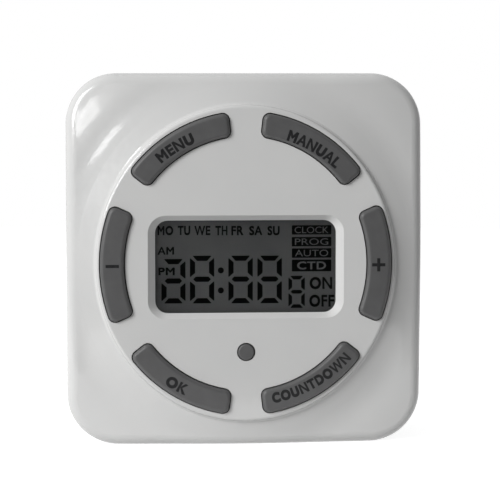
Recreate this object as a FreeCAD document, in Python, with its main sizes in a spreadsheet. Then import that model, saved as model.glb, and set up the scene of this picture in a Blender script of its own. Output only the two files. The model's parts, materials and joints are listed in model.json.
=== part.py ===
import FreeCAD, Part
import math
import os
import Sketcher

# A seven-day digital timer that plugs straight into a wall outlet, with one grounded outlet on its side.
# X runs to the viewer's right, Y runs back into the wall and Z is up. The origin lies on the raised face
# that meets the wall plate, behind the middle of the case. Lengths are in millimetres, angles in degrees.

Vector = FreeCAD.Vector
Rotation = FreeCAD.Rotation
doc = FreeCAD.newDocument("plug_in_timer")

# Driving sizes

SIZES = (
    ("body_width", 66, "case, side to side"),
    ("body_height", 69, "case, bottom to top"),
    ("corner_radius", 9.4, "upright corners of the case seen from the front"),
    ("wall", 2, "case wall"),
    ("cover_depth", 15.5, "rear cover, from its back panel to the split"),
    ("shell_depth", 13.7, "front shell, from the split to the valley round the dial"),
    ("front_round", 2.2, "rounded front edge of the case"),
    ("back_round", 1.6, "rounded back edge of the case"),
    ("seam_chamfer", 0.3, "chamfer of the rear cover along the split"),
    ("boss_width", 32, "raised face round the plug blades"),
    ("boss_tall", 36, "raised face round the plug blades"),
    ("boss_height", 1.5, "how far that face stands out of the back panel"),
    ("boss_round", 5, "corners of that face"),
    ("dial_half_width", 27.6, "raised oval dial, centre to side"),
    ("dial_half_height", 29.2, "raised oval dial, centre to top"),
    ("dial_rise", 2.8, "dial face over the valley round it"),
    ("dial_drop", 0.5, "dial centre below the middle of the case"),
    ("dial_edge_round", 0.5, "rounded edge of the dial face"),
    ("dial_wall", 1, "upright part of the dial's side"),
    ("flank_width", 5.6, "sloped flank from the dial to the valley"),
    ("valley_round", 17, "hollow curve at the foot of the flank"),
    ("foot_round", 0.7, "small curve where the dial's side meets the flank"),
    ("base_fall", 1.7, "how far the base falls away towards the corners"),
    ("rim_side", 0.74, "dial face left outside the key ring at the sides"),
    ("rim_top", 1.23, "dial face left outside the key ring at top and bottom"),
    ("key_width", 4.4, "arc key, inner to outer edge"),
    ("key_span", 45.8, "arc key, end to end, as an angle"),
    ("key_pitch", 60, "angle from one arc key to the next"),
    ("key_corner", 1.2, "corners of an arc key"),
    ("key_edge", 0.7, "rounded top edge of an arc key"),
    ("key_proud", 0.9, "key top over the dial face"),
    ("key_gap", 0.2, "gap round each key"),
    ("key_travel", 0.8, "how far a key goes in"),
    ("lip_out", 0.5, "lip that keeps a key in, past its sides"),
    ("lip_thick", 0.9, "thickness of that lip"),
    ("lip_gap", 0.15, "lip to the inside of the dial"),
    ("reset_diameter", 3, "round reset button"),
    ("reset_drop", 16.3, "reset button below the dial centre"),
    ("reset_proud", 0.3, "reset button over the dial face"),
    ("reset_edge", 0.3, "rounded top edge of the reset button"),
    ("window_width", 33.4, "display opening"),
    ("window_height", 17.1, "display opening"),
    ("window_round", 2.3, "corners of the display opening"),
    ("window_drop", 0.57, "display centre below the dial centre"),
    ("bevel_side", 1.4, "sloped border of the display, left and right"),
    ("bevel_top", 1, "sloped border of the display, top and bottom"),
    ("bevel_depth", 1.2, "depth of that border"),
    ("lens_margin", 1, "window pane hidden behind the opening's edge"),
    ("lens_thick", 0.9, "window pane"),
    ("lens_gap", 0.15, "window pane in its pocket"),
    ("glass_side", 0.2, "display glass past the opening, left and right"),
    ("glass_top", 0.1, "rear display glass past the opening, above and below"),
    ("glass_ledge", 1.5, "contact ledge of the front glass, above and below the rear glass"),
    ("glass_thick", 1.1, "each display glass"),
    ("glass_gap", 0.1, "display glass to the pane and to its holder"),
    ("holder_wall", 0.4, "display holder"),
    ("holder_round", 0.6, "corners of the display holder"),
    ("strip_width", 1.2, "rubber contact strip"),
    ("mat_thick", 1, "rubber key mat"),
    ("mat_gap", 0.3, "key mat round what it goes round"),
    ("dome_height", 1.65, "rubber dome under a key"),
    ("dome_radius", 2.4, "rubber dome at its foot"),
    ("dome_top_radius", 1.6, "rubber dome under the key"),
    ("board_thick", 1.6, "circuit boards"),
    ("board_margin", 0.4, "key mat and control board inside the dial's outline"),
    ("pillar_radius", 1.8, "pillars that carry the control board"),
    ("board_screw_radius", 0.85, "board screws"),
    ("board_screw_head", 1.9, "radius of a board screw's head"),
    ("post_shift", 1.5, "case screws, outward from the corner's centre"),
    ("cover_post_radius", 4, "screw posts of the rear cover"),
    ("shell_post_radius", 2.9, "screw posts of the front shell"),
    ("screw_radius", 1.25, "case screws"),
    ("screw_play", 0.3, "case screw in the rear cover"),
    ("screw_head_radius", 2.5, "case screw head"),
    ("screw_head_thick", 1.6, "case screw head"),
    ("screw_head_gap", 0.3, "screw head in its recess"),
    ("screw_seat", 3, "screw head seat below the back panel"),
    ("screw_bite", 7, "case screw in the front shell"),
    ("plug_x", -4, "plug centre from the middle of the case"),
    ("plug_rise", 2, "plug centre above the middle of the case"),
    ("blade_pitch", 12.7, "blade to blade, plug and outlet"),
    ("ground_drop", 11.9, "ground pin below the blades, plug and outlet"),
    ("blade_thick", 1.5, "plug blade"),
    ("blade_width", 6.35, "plug blade"),
    ("blade_length", 17.5, "plug blade out of the wall face"),
    ("blade_hole", 1.6, "radius of the hole near a blade's tip"),
    ("blade_hole_in", 5.8, "that hole from the tip"),
    ("blade_shoulder", 1.8, "blade shoulder past each side"),
    ("blade_tail", 3.2, "width of a blade's tail through the power board"),
    ("tail_out", 1.5, "tails past the power board"),
    ("ground_radius", 2.375, "ground pin"),
    ("ground_length", 20.7, "ground pin out of the wall face"),
    ("ground_seat", 0.2, "ground pin's seat in the rear cover, past its free part"),
    ("metal_fit", 0.05, "plug metal in the rear cover"),
    ("board_stand", 1.5, "power board off the rear cover"),
    ("board_edge_gap", 0.5, "power board to the walls and posts round it"),
    ("outlet_depth", 24.5, "outlet block, from its face into the case"),
    ("outlet_length", 19.5, "outlet block, front to back"),
    ("outlet_above", 6, "outlet block above the blade slots' centre"),
    ("outlet_below", 16.5, "outlet block below the blade slots' centre"),
    ("outlet_rise", 0.5, "blade slots' centre above the middle of the case"),
    ("outlet_back_gap", 1.55, "outlet block to the rear cover"),
    ("outlet_face", 2, "face wall of the outlet block"),
    ("outlet_cap", 1.5, "cap behind the outlet block"),
    ("outlet_fit", 0.1, "outlet block in the case"),
    ("outlet_flange", 1, "flange that keeps the outlet block in"),
    ("outlet_chamfer", 0.4, "chamfer round the outlet face"),
    ("slot_width", 2, "outlet blade slots"),
    ("line_slot", 7, "height of the line slot"),
    ("neutral_slot", 8.4, "height of the neutral slot"),
    ("ground_hole", 2.6, "radius of the outlet's ground hole"),
    ("chamber_wide", 4.4, "chamber behind a blade slot"),
    ("chamber_tall", 10, "chamber behind a blade slot"),
    ("ground_chamber", 7.2, "chamber behind the ground hole"),
    ("clip_gap", 1.6, "blade contact, between its leaves"),
    ("ground_clip_gap", 5.5, "ground contact, between its leaves"),
    ("clip_thick", 0.6, "contact leaves"),
    ("clip_wide", 5.4, "contact leaves and straps"),
    ("clip_mouth", 2, "contact mouth behind the face wall"),
    ("strap_thick", 0.8, "straps and contact tails"),
    ("relay_width", 19, "relay, side to side"),
    ("relay_tall", 15.5, "relay, bottom to top"),
    ("relay_depth", 15.3, "relay, off the power board"),
    ("relay_wall", 0.8, "relay cover"),
    ("relay_base", 1.5, "relay base"),
    ("relay_gap", 0.6, "relay works inside the cover"),
    ("coil_radius", 4, "relay coil"),
    ("core_radius", 1.5, "relay core"),
    ("yoke_thick", 1, "relay yoke"),
    ("armature_thick", 1, "relay armature"),
    ("armature_lift", 0.7, "armature tip over the core"),
    ("armature_play", 0.1, "armature over the yoke"),
    ("contact_gap", 0.65, "relay contacts when open"),
    ("part_gap", 0.5, "parts on the boards, from each other and from the boards' edges"),
    ("chip_side", 10, "control chip"),
    ("chip_thick", 1.6, "control chip"),
    ("crystal_radius", 1, "clock crystal"),
    ("crystal_length", 6, "clock crystal"),
    ("cell_radius", 5.8, "backup cell"),
    ("cell_thick", 5.4, "backup cell"),
    ("dropper_width", 11, "dropper capacitor, side to side"),
    ("dropper_tall", 8, "dropper capacitor, bottom to top"),
    ("dropper_depth", 12, "dropper capacitor, off the board"),
    ("dropper_round", 1, "dropper capacitor's corners"),
    ("smoothing_radius", 4, "smoothing capacitor"),
    ("smoothing_depth", 12.5, "smoothing capacitor, off the board"),
    ("varistor_radius", 4.5, "varistor"),
    ("varistor_thick", 3.6, "varistor"),
    ("varistor_leg", 0.7, "varistor's legs"),
    ("resistor_radius", 1.9, "fuse resistor"),
    ("resistor_length", 9, "fuse resistor"),
    ("bridge_side", 6, "bridge rectifier"),
    ("bridge_thick", 2.6, "bridge rectifier"),
    ("pin_pitch", 2.54, "pins that join the boards"),
    ("pin_side", 0.64, "pins that join the boards"),
    ("link_width", 2.5, "pin strip"),
    ("link_foot", 8.5, "socket on the power board"),
    ("link_head", 2.5, "pin strip's collar on the control board"),
)

sizes = doc.addObject("Spreadsheet::Sheet", "Sizes")
for row, (alias, value, words) in enumerate(SIZES, 1):
    sizes.set(f"A{row}", words)
    sizes.set(f"B{row}", str(value))
    sizes.setAlias(f"B{row}", alias)

# Places that follow from the sizes. A name in _y is a level from front to back.

PLACES = (
    ("half_width", "Sizes.body_width / 2"),
    ("half_height", "Sizes.body_height / 2"),
    ("inner_x", "At.half_width - Sizes.wall"),
    ("inner_z", "At.half_height - Sizes.wall"),
    ("back_y", "-Sizes.boss_height"),
    ("split_y", "At.back_y - Sizes.cover_depth"),
    ("valley_y", "At.split_y - Sizes.shell_depth"),
    ("dial_y", "At.valley_y - Sizes.dial_rise"),
    ("inner_back_y", "At.back_y - Sizes.wall"),
    ("inner_front_y", "At.valley_y + Sizes.wall"),
    ("inner_dial_y", "At.dial_y + Sizes.wall"),
    ("key_top_y", "At.dial_y - Sizes.key_proud"),
    ("lip_front_y", "At.inner_dial_y + Sizes.lip_gap"),
    ("lip_back_y", "At.lip_front_y + Sizes.lip_thick"),
    ("pane_front_y", "At.dial_y + Sizes.bevel_depth"),
    ("pane_back_y", "At.pane_front_y + Sizes.lens_thick"),
    ("glass_front_y", "At.pane_back_y + Sizes.glass_gap"),
    ("glass_middle_y", "At.glass_front_y + Sizes.glass_thick"),
    ("glass_back_y", "At.glass_middle_y + Sizes.glass_thick"),
    ("mat_front_y", "At.lip_back_y + Sizes.dome_height"),
    ("board_front_y", "At.mat_front_y + Sizes.mat_thick"),
    ("board_back_y", "At.board_front_y + Sizes.board_thick"),
    ("power_back_y", "At.inner_back_y - Sizes.board_stand"),
    ("power_front_y", "At.power_back_y - Sizes.board_thick"),
    ("tail_y", "At.power_front_y - Sizes.tail_out"),
    ("dial_z", "-Sizes.dial_drop"),
    ("window_z", "At.dial_z - Sizes.window_drop"),
    ("reset_z", "At.dial_z - Sizes.reset_drop"),
    ("ring_x", "Sizes.dial_half_width - Sizes.rim_side"),
    ("ring_z", "Sizes.dial_half_height - Sizes.rim_top"),
    ("ring_middle_x", "At.ring_x - Sizes.key_width / 2"),
    ("ring_middle_z", "At.ring_z - Sizes.key_width / 2"),
    ("hollow_x", "min(Sizes.dial_half_width; At.inner_x)"),
    ("hollow_z", "min(Sizes.dial_half_height; At.inner_z - Sizes.dial_drop)"),
    ("board_x", "At.hollow_x - Sizes.board_margin"),
    ("board_z", "At.hollow_z - Sizes.board_margin"),
    ("glass_x", "Sizes.window_width / 2 + Sizes.glass_side"),
    ("rear_glass_z", "Sizes.window_height / 2 + Sizes.glass_top"),
    ("glass_z", "At.rear_glass_z + Sizes.glass_ledge"),
    ("holder_x", "At.glass_x + Sizes.glass_gap + Sizes.holder_wall"),
    ("holder_z", "At.glass_z + Sizes.glass_gap + Sizes.holder_wall"),
    ("post_x", "At.half_width - Sizes.corner_radius + Sizes.post_shift"),
    ("post_z", "At.half_height - Sizes.corner_radius + Sizes.post_shift"),
    ("seat_y", "At.back_y - Sizes.screw_seat"),
    ("blade_z", "Sizes.plug_rise + Sizes.ground_drop / 2"),
    ("ground_z", "Sizes.plug_rise - Sizes.ground_drop / 2"),
    ("line_x", "Sizes.plug_x + Sizes.blade_pitch / 2"),
    ("neutral_x", "Sizes.plug_x - Sizes.blade_pitch / 2"),
    ("outlet_back_y", "At.inner_back_y - Sizes.outlet_back_gap"),
    ("outlet_y", "At.outlet_back_y - Sizes.outlet_length / 2"),
    ("outlet_front_y", "At.outlet_back_y - Sizes.outlet_length"),
    ("outlet_line_y", "At.outlet_y + Sizes.blade_pitch / 2"),
    ("outlet_neutral_y", "At.outlet_y - Sizes.blade_pitch / 2"),
    ("outlet_top_z", "Sizes.outlet_rise + Sizes.outlet_above"),
    ("outlet_low_z", "Sizes.outlet_rise - Sizes.outlet_below"),
    ("outlet_ground_z", "Sizes.outlet_rise - Sizes.ground_drop"),
    ("outlet_rear_x", "At.half_width - Sizes.outlet_depth"),
    ("chamber_x", "At.outlet_rear_x + Sizes.outlet_cap"),
    ("power_left_x", "-At.inner_x + Sizes.board_edge_gap"),
    ("power_right_x", "At.outlet_rear_x - Sizes.board_edge_gap"),
    ("power_z", "At.post_z - Sizes.cover_post_radius - Sizes.board_edge_gap"),
    ("relay_x", "At.power_left_x + 1.5"),
    ("relay_z", "-At.power_z + 1"),
    ("link_top_z", "At.relay_z + 5 * Sizes.pin_pitch"),
    ("relay_front_y", "At.power_front_y - Sizes.relay_depth"),
    ("works_y", "At.power_front_y - Sizes.relay_base"),
    ("parts_x", "At.power_left_x + 4 + 2 * Sizes.board_screw_head"),
    ("parts_top_z", "At.power_z - Sizes.part_gap"),
    ("varistor_x", "At.parts_x + Sizes.dropper_width + Sizes.part_gap + Sizes.varistor_radius"),
    ("smoothing_x", "At.varistor_x + Sizes.varistor_radius + Sizes.part_gap + Sizes.smoothing_radius"),
    ("yoke_x", "At.relay_x + Sizes.relay_wall + Sizes.relay_gap + 2 * Sizes.coil_radius + 1"),
    ("yoke_top_y", "At.relay_front_y + Sizes.relay_wall + Sizes.relay_gap + Sizes.armature_thick + 1"),
    ("works_z", "At.relay_z + Sizes.relay_tall / 2"),
)

at = doc.addObject("App::VarSet", "At")
for name, formula in PLACES:
    at.addProperty("App::PropertyFloat", name)
    at.setExpression(name, formula)
doc.recompute()


def size(name):
    return float(getattr(sizes, name))


# Ways of making a solid. Each takes formulas for its sizes, and a span is a pair from low to high.

TURNS = {"x": Rotation(Vector(0, 1, 0), 90), "y": Rotation(Vector(1, 0, 0), -90), "z": Rotation()}


def bind(thing, formulas):
    for path, formula in formulas.items():
        thing.setExpression(path, str(formula))
    return thing


def length(span):
    return f"({span[1]}) - ({span[0]})"


def around(middle, width):
    return (f"({middle}) - ({width}) / 2", f"({middle}) + ({width}) / 2")


def block(name, x, y, z):
    box = doc.addObject("Part::Box", name)
    return bind(box, {
        "Length": length(x), "Width": length(y), "Height": length(z),
        "Placement.Base.x": x[0], "Placement.Base.y": y[0], "Placement.Base.z": z[0],
    })


def rod(name, along, span, centre, radius, end_radius=None):
    kind = "Part::Cylinder" if end_radius is None else "Part::Cone"
    solid = doc.addObject(kind, name)
    solid.Placement = FreeCAD.Placement(Vector(), TURNS[along])
    across = [axis for axis in "xyz" if axis != along]
    if end_radius is None:
        bind(solid, {"Radius": radius})
    else:
        bind(solid, {"Radius1": radius, "Radius2": end_radius})
    return bind(solid, {
        "Height": length(span), f"Placement.Base.{along}": span[0],
        f"Placement.Base.{across[0]}": centre[0], f"Placement.Base.{across[1]}": centre[1],
    })


def oval(name, half_width, half_height, y, z="At.dial_z"):
    ring = doc.addObject("Part::Ellipse", name + "_edge")
    ring.Placement = FreeCAD.Placement(Vector(), Rotation(Vector(0, 0, 1), 90))
    bind(ring, {
        "MajorRadius": f"max({half_width}; {half_height})",
        "MinorRadius": f"min({half_width}; {half_height})",
        "Placement.Rotation.Angle": f"({half_width}) > ({half_height}) ? 0 : 90",
    })
    solid = doc.addObject("Part::Extrusion", name)
    solid.Base = ring
    solid.DirMode = "Normal"
    solid.Solid = True
    solid.Placement = FreeCAD.Placement(Vector(), Rotation(Vector(1, 0, 0), 90))
    return bind(solid, {
        "LengthFwd": length(y), "Placement.Base.y": y[1], "Placement.Base.z": z,
    })


def sector(name, middle, span, y):
    wedge = doc.addObject("Part::Cylinder", name)
    turn = Rotation(Vector(1, 0, 0), 90).multiply(Rotation(Vector(0, 0, 1), middle - span / 2))
    wedge.Placement = FreeCAD.Placement(Vector(), turn)
    return bind(wedge, {
        "Angle": span, "Radius": "Sizes.dial_half_width + Sizes.dial_half_height",
        "Height": length(y), "Placement.Base.y": y[1], "Placement.Base.z": "At.dial_z",
    })


def together(name, *solids):
    fuse = doc.addObject("Part::MultiFuse", name)
    fuse.Shapes = list(solids)
    return fuse


def without(name, base, *tools):
    cut = doc.addObject("Part::Cut", name)
    cut.Base = base
    cut.Tool = tools[0] if len(tools) == 1 else together(name + "_openings", *tools)
    return cut


def shared(name, *solids):
    common = doc.addObject("Part::MultiCommon", name)
    common.Shapes = list(solids)
    return common


def edges_softened(name, kind, base, choices):
    doc.recompute()
    soft = doc.addObject(kind, name)
    soft.Base = base
    edges = []
    for number, edge in enumerate(base.Shape.Edges, 1):
        for amount, chosen in choices:
            if chosen(edge):
                edges.append((number, amount, amount))
                break
    soft.Edges = edges
    return soft


def rounded(name, base, *choices):
    return edges_softened(name, "Part::Fillet", base, choices)


def chamfered(name, base, *choices):
    return edges_softened(name, "Part::Chamfer", base, choices)


def ends(edge):
    return [edge.valueAt(edge.FirstParameter), edge.valueAt(edge.LastParameter)]


def runs_along(axis):
    def test(edge):
        first, last = ends(edge)
        return abs(abs(getattr(last - first, axis)) - edge.Length) < 1e-4
    return test


def lies_at(axis, level):
    return lambda edge: all(abs(getattr(point, axis) - level) < 1e-4 for point in ends(edge))


# Part design bodies. A sketch on the front plane looks along Y, and its pad comes forward.

PLANES = {"x": "YZ_Plane", "y": "XZ_Plane", "z": "XY_Plane"}


def sketch_in(body, name, facing, level):
    sketch = body.newObject("Sketcher::SketchObject", name)
    plane = next(item for item in body.Origin.OriginFeatures if item.Role == PLANES[facing])
    sketch.AttachmentSupport = [(plane, "")]
    sketch.MapMode = "FlatFace"
    sketch.setExpression("AttachmentOffset.Base.z", f"-({level})" if facing == "y" else level)
    return sketch


def dimension(sketch, kind, geometry, start, formula):
    number = sketch.addConstraint(Sketcher.Constraint(kind, *geometry, start))
    sketch.setExpression(f"Constraints[{number}]", formula)


def draw_corners(sketch, corners):
    count = len(corners)
    values = [tuple(float(sketch.evalExpression(part)) for part in corner) for corner in corners]
    points = [Vector(right, up, 0) for right, up in values]
    lines = [Part.LineSegment(points[i], points[(i + 1) % count]) for i in range(count)]
    sketch.addGeometry(lines, False)
    for i in range(count):
        sketch.addConstraint(Sketcher.Constraint("Coincident", i, 2, (i + 1) % count, 1))
    for i, (right, up) in enumerate(corners):
        dimension(sketch, "DistanceX", (-1, 1, i, 1), points[i].x, right)
        dimension(sketch, "DistanceY", (-1, 1, i, 1), points[i].y, up)


def draw_rounded(sketch, x, z, radius):
    left, right, low, high, bend = (
        float(sketch.evalExpression(formula)) for formula in (x[0], x[1], z[0], z[1], radius))
    bottom, top = low + bend, high - bend
    near, far = left + bend, right - bend

    def corner(centre_x, centre_z, quarter):
        circle = Part.Circle(Vector(centre_x, centre_z, 0), Vector(0, 0, 1), bend)
        return Part.ArcOfCircle(circle, quarter * math.pi / 2, (quarter + 1) * math.pi / 2)

    sketch.addGeometry([
        Part.LineSegment(Vector(near, low, 0), Vector(far, low, 0)),
        corner(far, bottom, 3),
        Part.LineSegment(Vector(right, bottom, 0), Vector(right, top, 0)),
        corner(far, top, 0),
        Part.LineSegment(Vector(far, high, 0), Vector(near, high, 0)),
        corner(near, top, 1),
        Part.LineSegment(Vector(left, top, 0), Vector(left, bottom, 0)),
        corner(near, bottom, 2),
    ], False)
    for i in range(8):
        sketch.addConstraint(Sketcher.Constraint("Tangent", i, 2, (i + 1) % 8, 1))
    for line, way in ((0, "Horizontal"), (2, "Vertical"), (4, "Horizontal"), (6, "Vertical")):
        sketch.addConstraint(Sketcher.Constraint(way, line))
    for arc in (3, 5, 7):
        sketch.addConstraint(Sketcher.Constraint("Equal", 1, arc))
    dimension(sketch, "Radius", (1,), bend, radius)
    dimension(sketch, "DistanceX", (-1, 1, 6, 1), left, x[0])
    dimension(sketch, "DistanceX", (-1, 1, 2, 1), right, x[1])
    dimension(sketch, "DistanceY", (-1, 1, 0, 1), low, z[0])
    dimension(sketch, "DistanceY", (-1, 1, 4, 1), high, z[1])


def pad(body, name, sketch, depth):
    feature = body.newObject("PartDesign::Pad", name)
    feature.Profile = sketch
    return bind(feature, {"Length": depth})


def tablet(name, x, y, z, radius):
    body = doc.addObject("PartDesign::Body", name)
    outline = sketch_in(body, name + "_outline", "y", y[1])
    draw_rounded(outline, x, z, radius)
    pad(body, name + "_pad", outline, length(y))
    return body


def folded(name, facing, span, corners):
    body = doc.addObject("PartDesign::Body", name)
    level = span[1] if facing == "y" else span[0]
    outline = sketch_in(body, name + "_outline", facing, level)
    draw_corners(outline, corners)
    pad(body, name + "_pad", outline, length(span))
    return body


# Case

CORNERS = (("upper_left", -1, 1), ("upper_right", 1, 1), ("lower_left", -1, -1), ("lower_right", 1, -1))
PILLARS = (0, 2, 3, 5)
KEYS = ("plus", "manual", "menu", "minus", "ok", "countdown")


def front_form():
    # One turned profile, stretched to the dial's oval, cut to the outline of the case
    wide, tall = size("dial_half_width"), size("dial_half_height")
    valley, dial, split = float(at.valley_y), float(at.dial_y), float(at.split_y)
    half_x, half_z, bend = float(at.half_width), float(at.half_height), size("corner_radius")
    edge, side, fall = size("dial_edge_round"), size("dial_wall"), size("base_fall")
    foot = wide + 0.15
    base = wide + size("flank_width")
    corner = bend * (1 - math.sqrt(0.5))
    end = math.hypot(half_x - corner, (half_z + size("dial_drop") - corner) * wide / tall) + 0.5
    lean = edge * (1 - math.sqrt(0.5))
    points = [Vector(0, dial, 0), Vector(wide - edge, dial, 0), Vector(wide, dial + edge, 0),
              Vector(foot, dial + side, 0), Vector(base, valley, 0),
              Vector(end, valley + fall, 0), Vector(end, split, 0), Vector(0, split, 0)]
    dome = Vector((base + end) / 2, valley + 0.31 * fall, 0)
    edges = [
        Part.makeLine(points[0], points[1]),
        Part.Arc(points[1], Vector(wide - lean, dial + lean, 0), points[2]).toShape(),
        Part.makeLine(points[2], points[3]),
        Part.makeLine(points[3], points[4]),
        Part.Arc(points[4], dome, points[5]).toShape(),
        Part.makeLine(points[5], points[6]),
        Part.makeLine(points[6], points[7]),
        Part.makeLine(points[7], points[0]),
    ]
    stretch = FreeCAD.Matrix()
    stretch.scale(1, 1, tall / wide)
    profile = Part.Face(Part.Wire(edges))
    quarters = []
    for turn in (45, 135, 225, 315):
        start = profile.copy()
        start.rotate(Vector(), Vector(0, 1, 0), turn)
        quarters.append(start.revolve(Vector(), Vector(0, 1, 0), 90).transformGeometry(stretch))
    turned = quarters[0].multiFuse(quarters[1:])

    def circles_at(radius, level):
        found = []
        for curve in turned.Edges:
            spots = [curve.valueAt(curve.FirstParameter + (curve.LastParameter - curve.FirstParameter) * k)
                     for k in (0.1, 0.5, 0.9)]
            reach = [math.hypot(spot.x, spot.z * wide / tall) for spot in spots]
            if all(abs(spot.y - level) < 1e-3 for spot in spots) and max(
                    abs(far - radius) for far in reach) < 1e-2:
                found.append(curve)
        return found

    turned = turned.makeFillet(size("valley_round"), circles_at(base, valley))
    turned = turned.makeFillet(size("foot_round"), circles_at(foot, dial + side))
    turned.translate(Vector(0, 0, float(at.dial_z)))
    depth = split - dial + 5
    outline = Part.makeBox(2 * half_x, depth, 2 * half_z, Vector(-half_x, split - depth, -half_z))
    outline = outline.makeFillet(bend, [e for e in outline.Edges if runs_along("y")(e)])
    form = outline.common(turned).Solids[0]

    def on_outline(point):
        away_x = max(abs(point.x) - (half_x - bend), 0)
        away_z = max(abs(point.z) - (half_z - bend), 0)
        if away_x and away_z:
            return abs(math.hypot(away_x, away_z) - bend) < 1e-3
        return abs(away_x - bend) < 1e-3 or abs(away_z - bend) < 1e-3

    rim = []
    for curve in form.Edges:
        spots = [curve.valueAt(curve.FirstParameter + (curve.LastParameter - curve.FirstParameter) * k)
                 for k in (0, 0.5, 1)]
        if all(on_outline(spot) and spot.y < split - 1 for spot in spots) and not runs_along("y")(curve):
            rim.append(curve)
    room = min(half_x - foot, half_z - size("dial_drop") - foot * tall / wide)
    form = form.makeFillet(min(size("front_round"), 0.8 * room), rim)
    solid = doc.addObject("Part::Feature", "front_form")
    solid.Shape = form
    solid.Placement = FreeCAD.Placement()
    return solid


def case_outline(name, y, inset="0"):
    return tablet(
        name, (f"-(At.half_width - ({inset}))", f"At.half_width - ({inset})"), y,
        (f"-(At.half_height - ({inset}))", f"At.half_height - ({inset})"), f"Sizes.corner_radius - ({inset})")


def key_ring(name, grow, y):
    outer = oval(name + "_outer", f"At.ring_x + {grow}", f"At.ring_z + {grow}", y)
    inner = oval(name + "_inner", f"At.ring_x - Sizes.key_width - {grow}",
                 f"At.ring_z - Sizes.key_width - {grow}", y)
    return without(name, outer, inner)


def key_sweep(grow):
    # The angle that a key of this much more width takes at the middle of the ring
    middle = (float(at.ring_middle_x) + float(at.ring_middle_z)) / 2
    return size("key_span") + 2 * math.degrees(grow / middle)


def key_wedge(name, index, grow, y):
    # A key's ends are set out on a circle, which is stretched to the dial's oval
    tall = float(at.ring_middle_z) / float(at.ring_middle_x)
    ends = []
    for side in (-1, 1):
        plain = index * size("key_pitch") + side * key_sweep(grow) / 2
        turn = math.radians(plain)
        shift = math.degrees(math.atan2(tall * math.sin(turn), math.cos(turn))) - plain
        ends.append(plain + (shift + 180) % 360 - 180)
    return sector(name, (ends[0] + ends[1]) / 2, ends[1] - ends[0], y)


def key_slots():
    y = ("At.dial_y - 1", "At.inner_dial_y + 0.1")
    ring = key_ring("slot_ring", "Sizes.key_gap", y)
    gap = size("key_gap")
    slots = []
    for index, name in enumerate(KEYS):
        wedge = key_wedge(f"{name}_slot_wedge", index, gap, y)
        slot = shared(f"{name}_slot_raw", ring, wedge)
        slots.append(rounded(f"{name}_slot", slot, (size("key_corner") + gap, runs_along("y"))))
    return slots


def on_ring(angle):
    # A place on the oval that runs along the middle of the keys
    return (f"At.ring_middle_x * cos({angle})", f"At.dial_z + At.ring_middle_z * sin({angle})")


def pillar_places():
    # A pillar stands in each of these gaps between two keys
    return [on_ring((gap + 0.5) * size("key_pitch")) for gap in PILLARS]


def window_bevel():
    body = doc.addObject("PartDesign::Body", "window_bevel")
    half_x, half_z = "Sizes.window_width / 2", "Sizes.window_height / 2"
    wide = sketch_in(body, "window_bevel_front", "y", "At.dial_y - 0.01")
    draw_rounded(wide, (f"-({half_x} + Sizes.bevel_side)", f"{half_x} + Sizes.bevel_side"),
                 (f"At.window_z - {half_z} - Sizes.bevel_top", f"At.window_z + {half_z} + Sizes.bevel_top"),
                 "Sizes.window_round + Sizes.bevel_top")
    narrow = sketch_in(body, "window_bevel_back", "y", "At.pane_front_y")
    draw_rounded(narrow, (f"-{half_x}", half_x), (f"At.window_z - {half_z}", f"At.window_z + {half_z}"),
                 "Sizes.window_round")
    loft = body.newObject("PartDesign::AdditiveLoft", "window_bevel_loft")
    loft.Profile = wide
    loft.Sections = [narrow]
    loft.Ruled = True
    return body


def pane_outline(name, gap, y):
    half_x = f"(Sizes.window_width / 2 + Sizes.lens_margin + {gap})"
    half_z = f"(Sizes.window_height / 2 + Sizes.lens_margin + {gap})"
    return tablet(name, (f"-{half_x}", half_x), y, (f"At.window_z - {half_z}", f"At.window_z + {half_z}"),
                  f"Sizes.window_round + {gap}")


def outlet_notch(name):
    gap = "Sizes.outlet_fit"
    return block(name, ("At.inner_x - 0.5", "At.half_width + 1"),
                 (f"At.outlet_front_y - {gap}", f"At.outlet_back_y + {gap}"),
                 (f"At.outlet_low_z - {gap}", f"At.outlet_top_z + {gap}"))


def front_shell():
    solids = [front_form()]
    hollow = case_outline("shell_hollow", ("At.inner_front_y", "At.split_y + 1"), "Sizes.wall")
    dial_hollow = oval("dial_hollow", "At.hollow_x", "At.hollow_z",
                       ("At.inner_dial_y", "At.inner_front_y + 0.5"))
    skin = without("shell_skin", solids[0], hollow, dial_hollow)
    posts = []
    holes = []
    for name, left, up in CORNERS:
        centre = (f"{left} * At.post_x", f"{up} * At.post_z")
        posts.append(rod(f"shell_post_{name}", "y", ("At.inner_front_y - 0.5", "At.split_y"), centre,
                         "Sizes.shell_post_radius"))
        holes.append(rod(f"shell_pilot_{name}", "y",
                         ("At.split_y - Sizes.screw_bite - 0.5", "At.split_y + 1"), centre,
                         "Sizes.screw_radius"))
    for number, centre in enumerate(pillar_places(), 1):
        posts.append(rod(f"pillar_{number}", "y", ("At.inner_dial_y - 0.3", "At.board_front_y"), centre,
                         "Sizes.pillar_radius"))
        holes.append(rod(f"pillar_pilot_{number}", "y", ("At.inner_dial_y + 0.3", "At.board_front_y + 1"),
                         centre, "Sizes.board_screw_radius"))
    reset = rod("reset_hole", "y", ("At.dial_y - 1", "At.inner_dial_y + 0.1"), ("0", "At.reset_z"),
                "Sizes.reset_diameter / 2 + Sizes.key_gap")
    pocket = pane_outline("pane_pocket", "Sizes.lens_gap", ("At.pane_front_y", "At.inner_dial_y + 1"))
    window = window_bevel()
    raised = together("shell_with_posts", skin, *posts)
    return without("front_shell", raised, *key_slots(), reset, window, pocket, outlet_notch("shell_notch"),
                   *holes)


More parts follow.
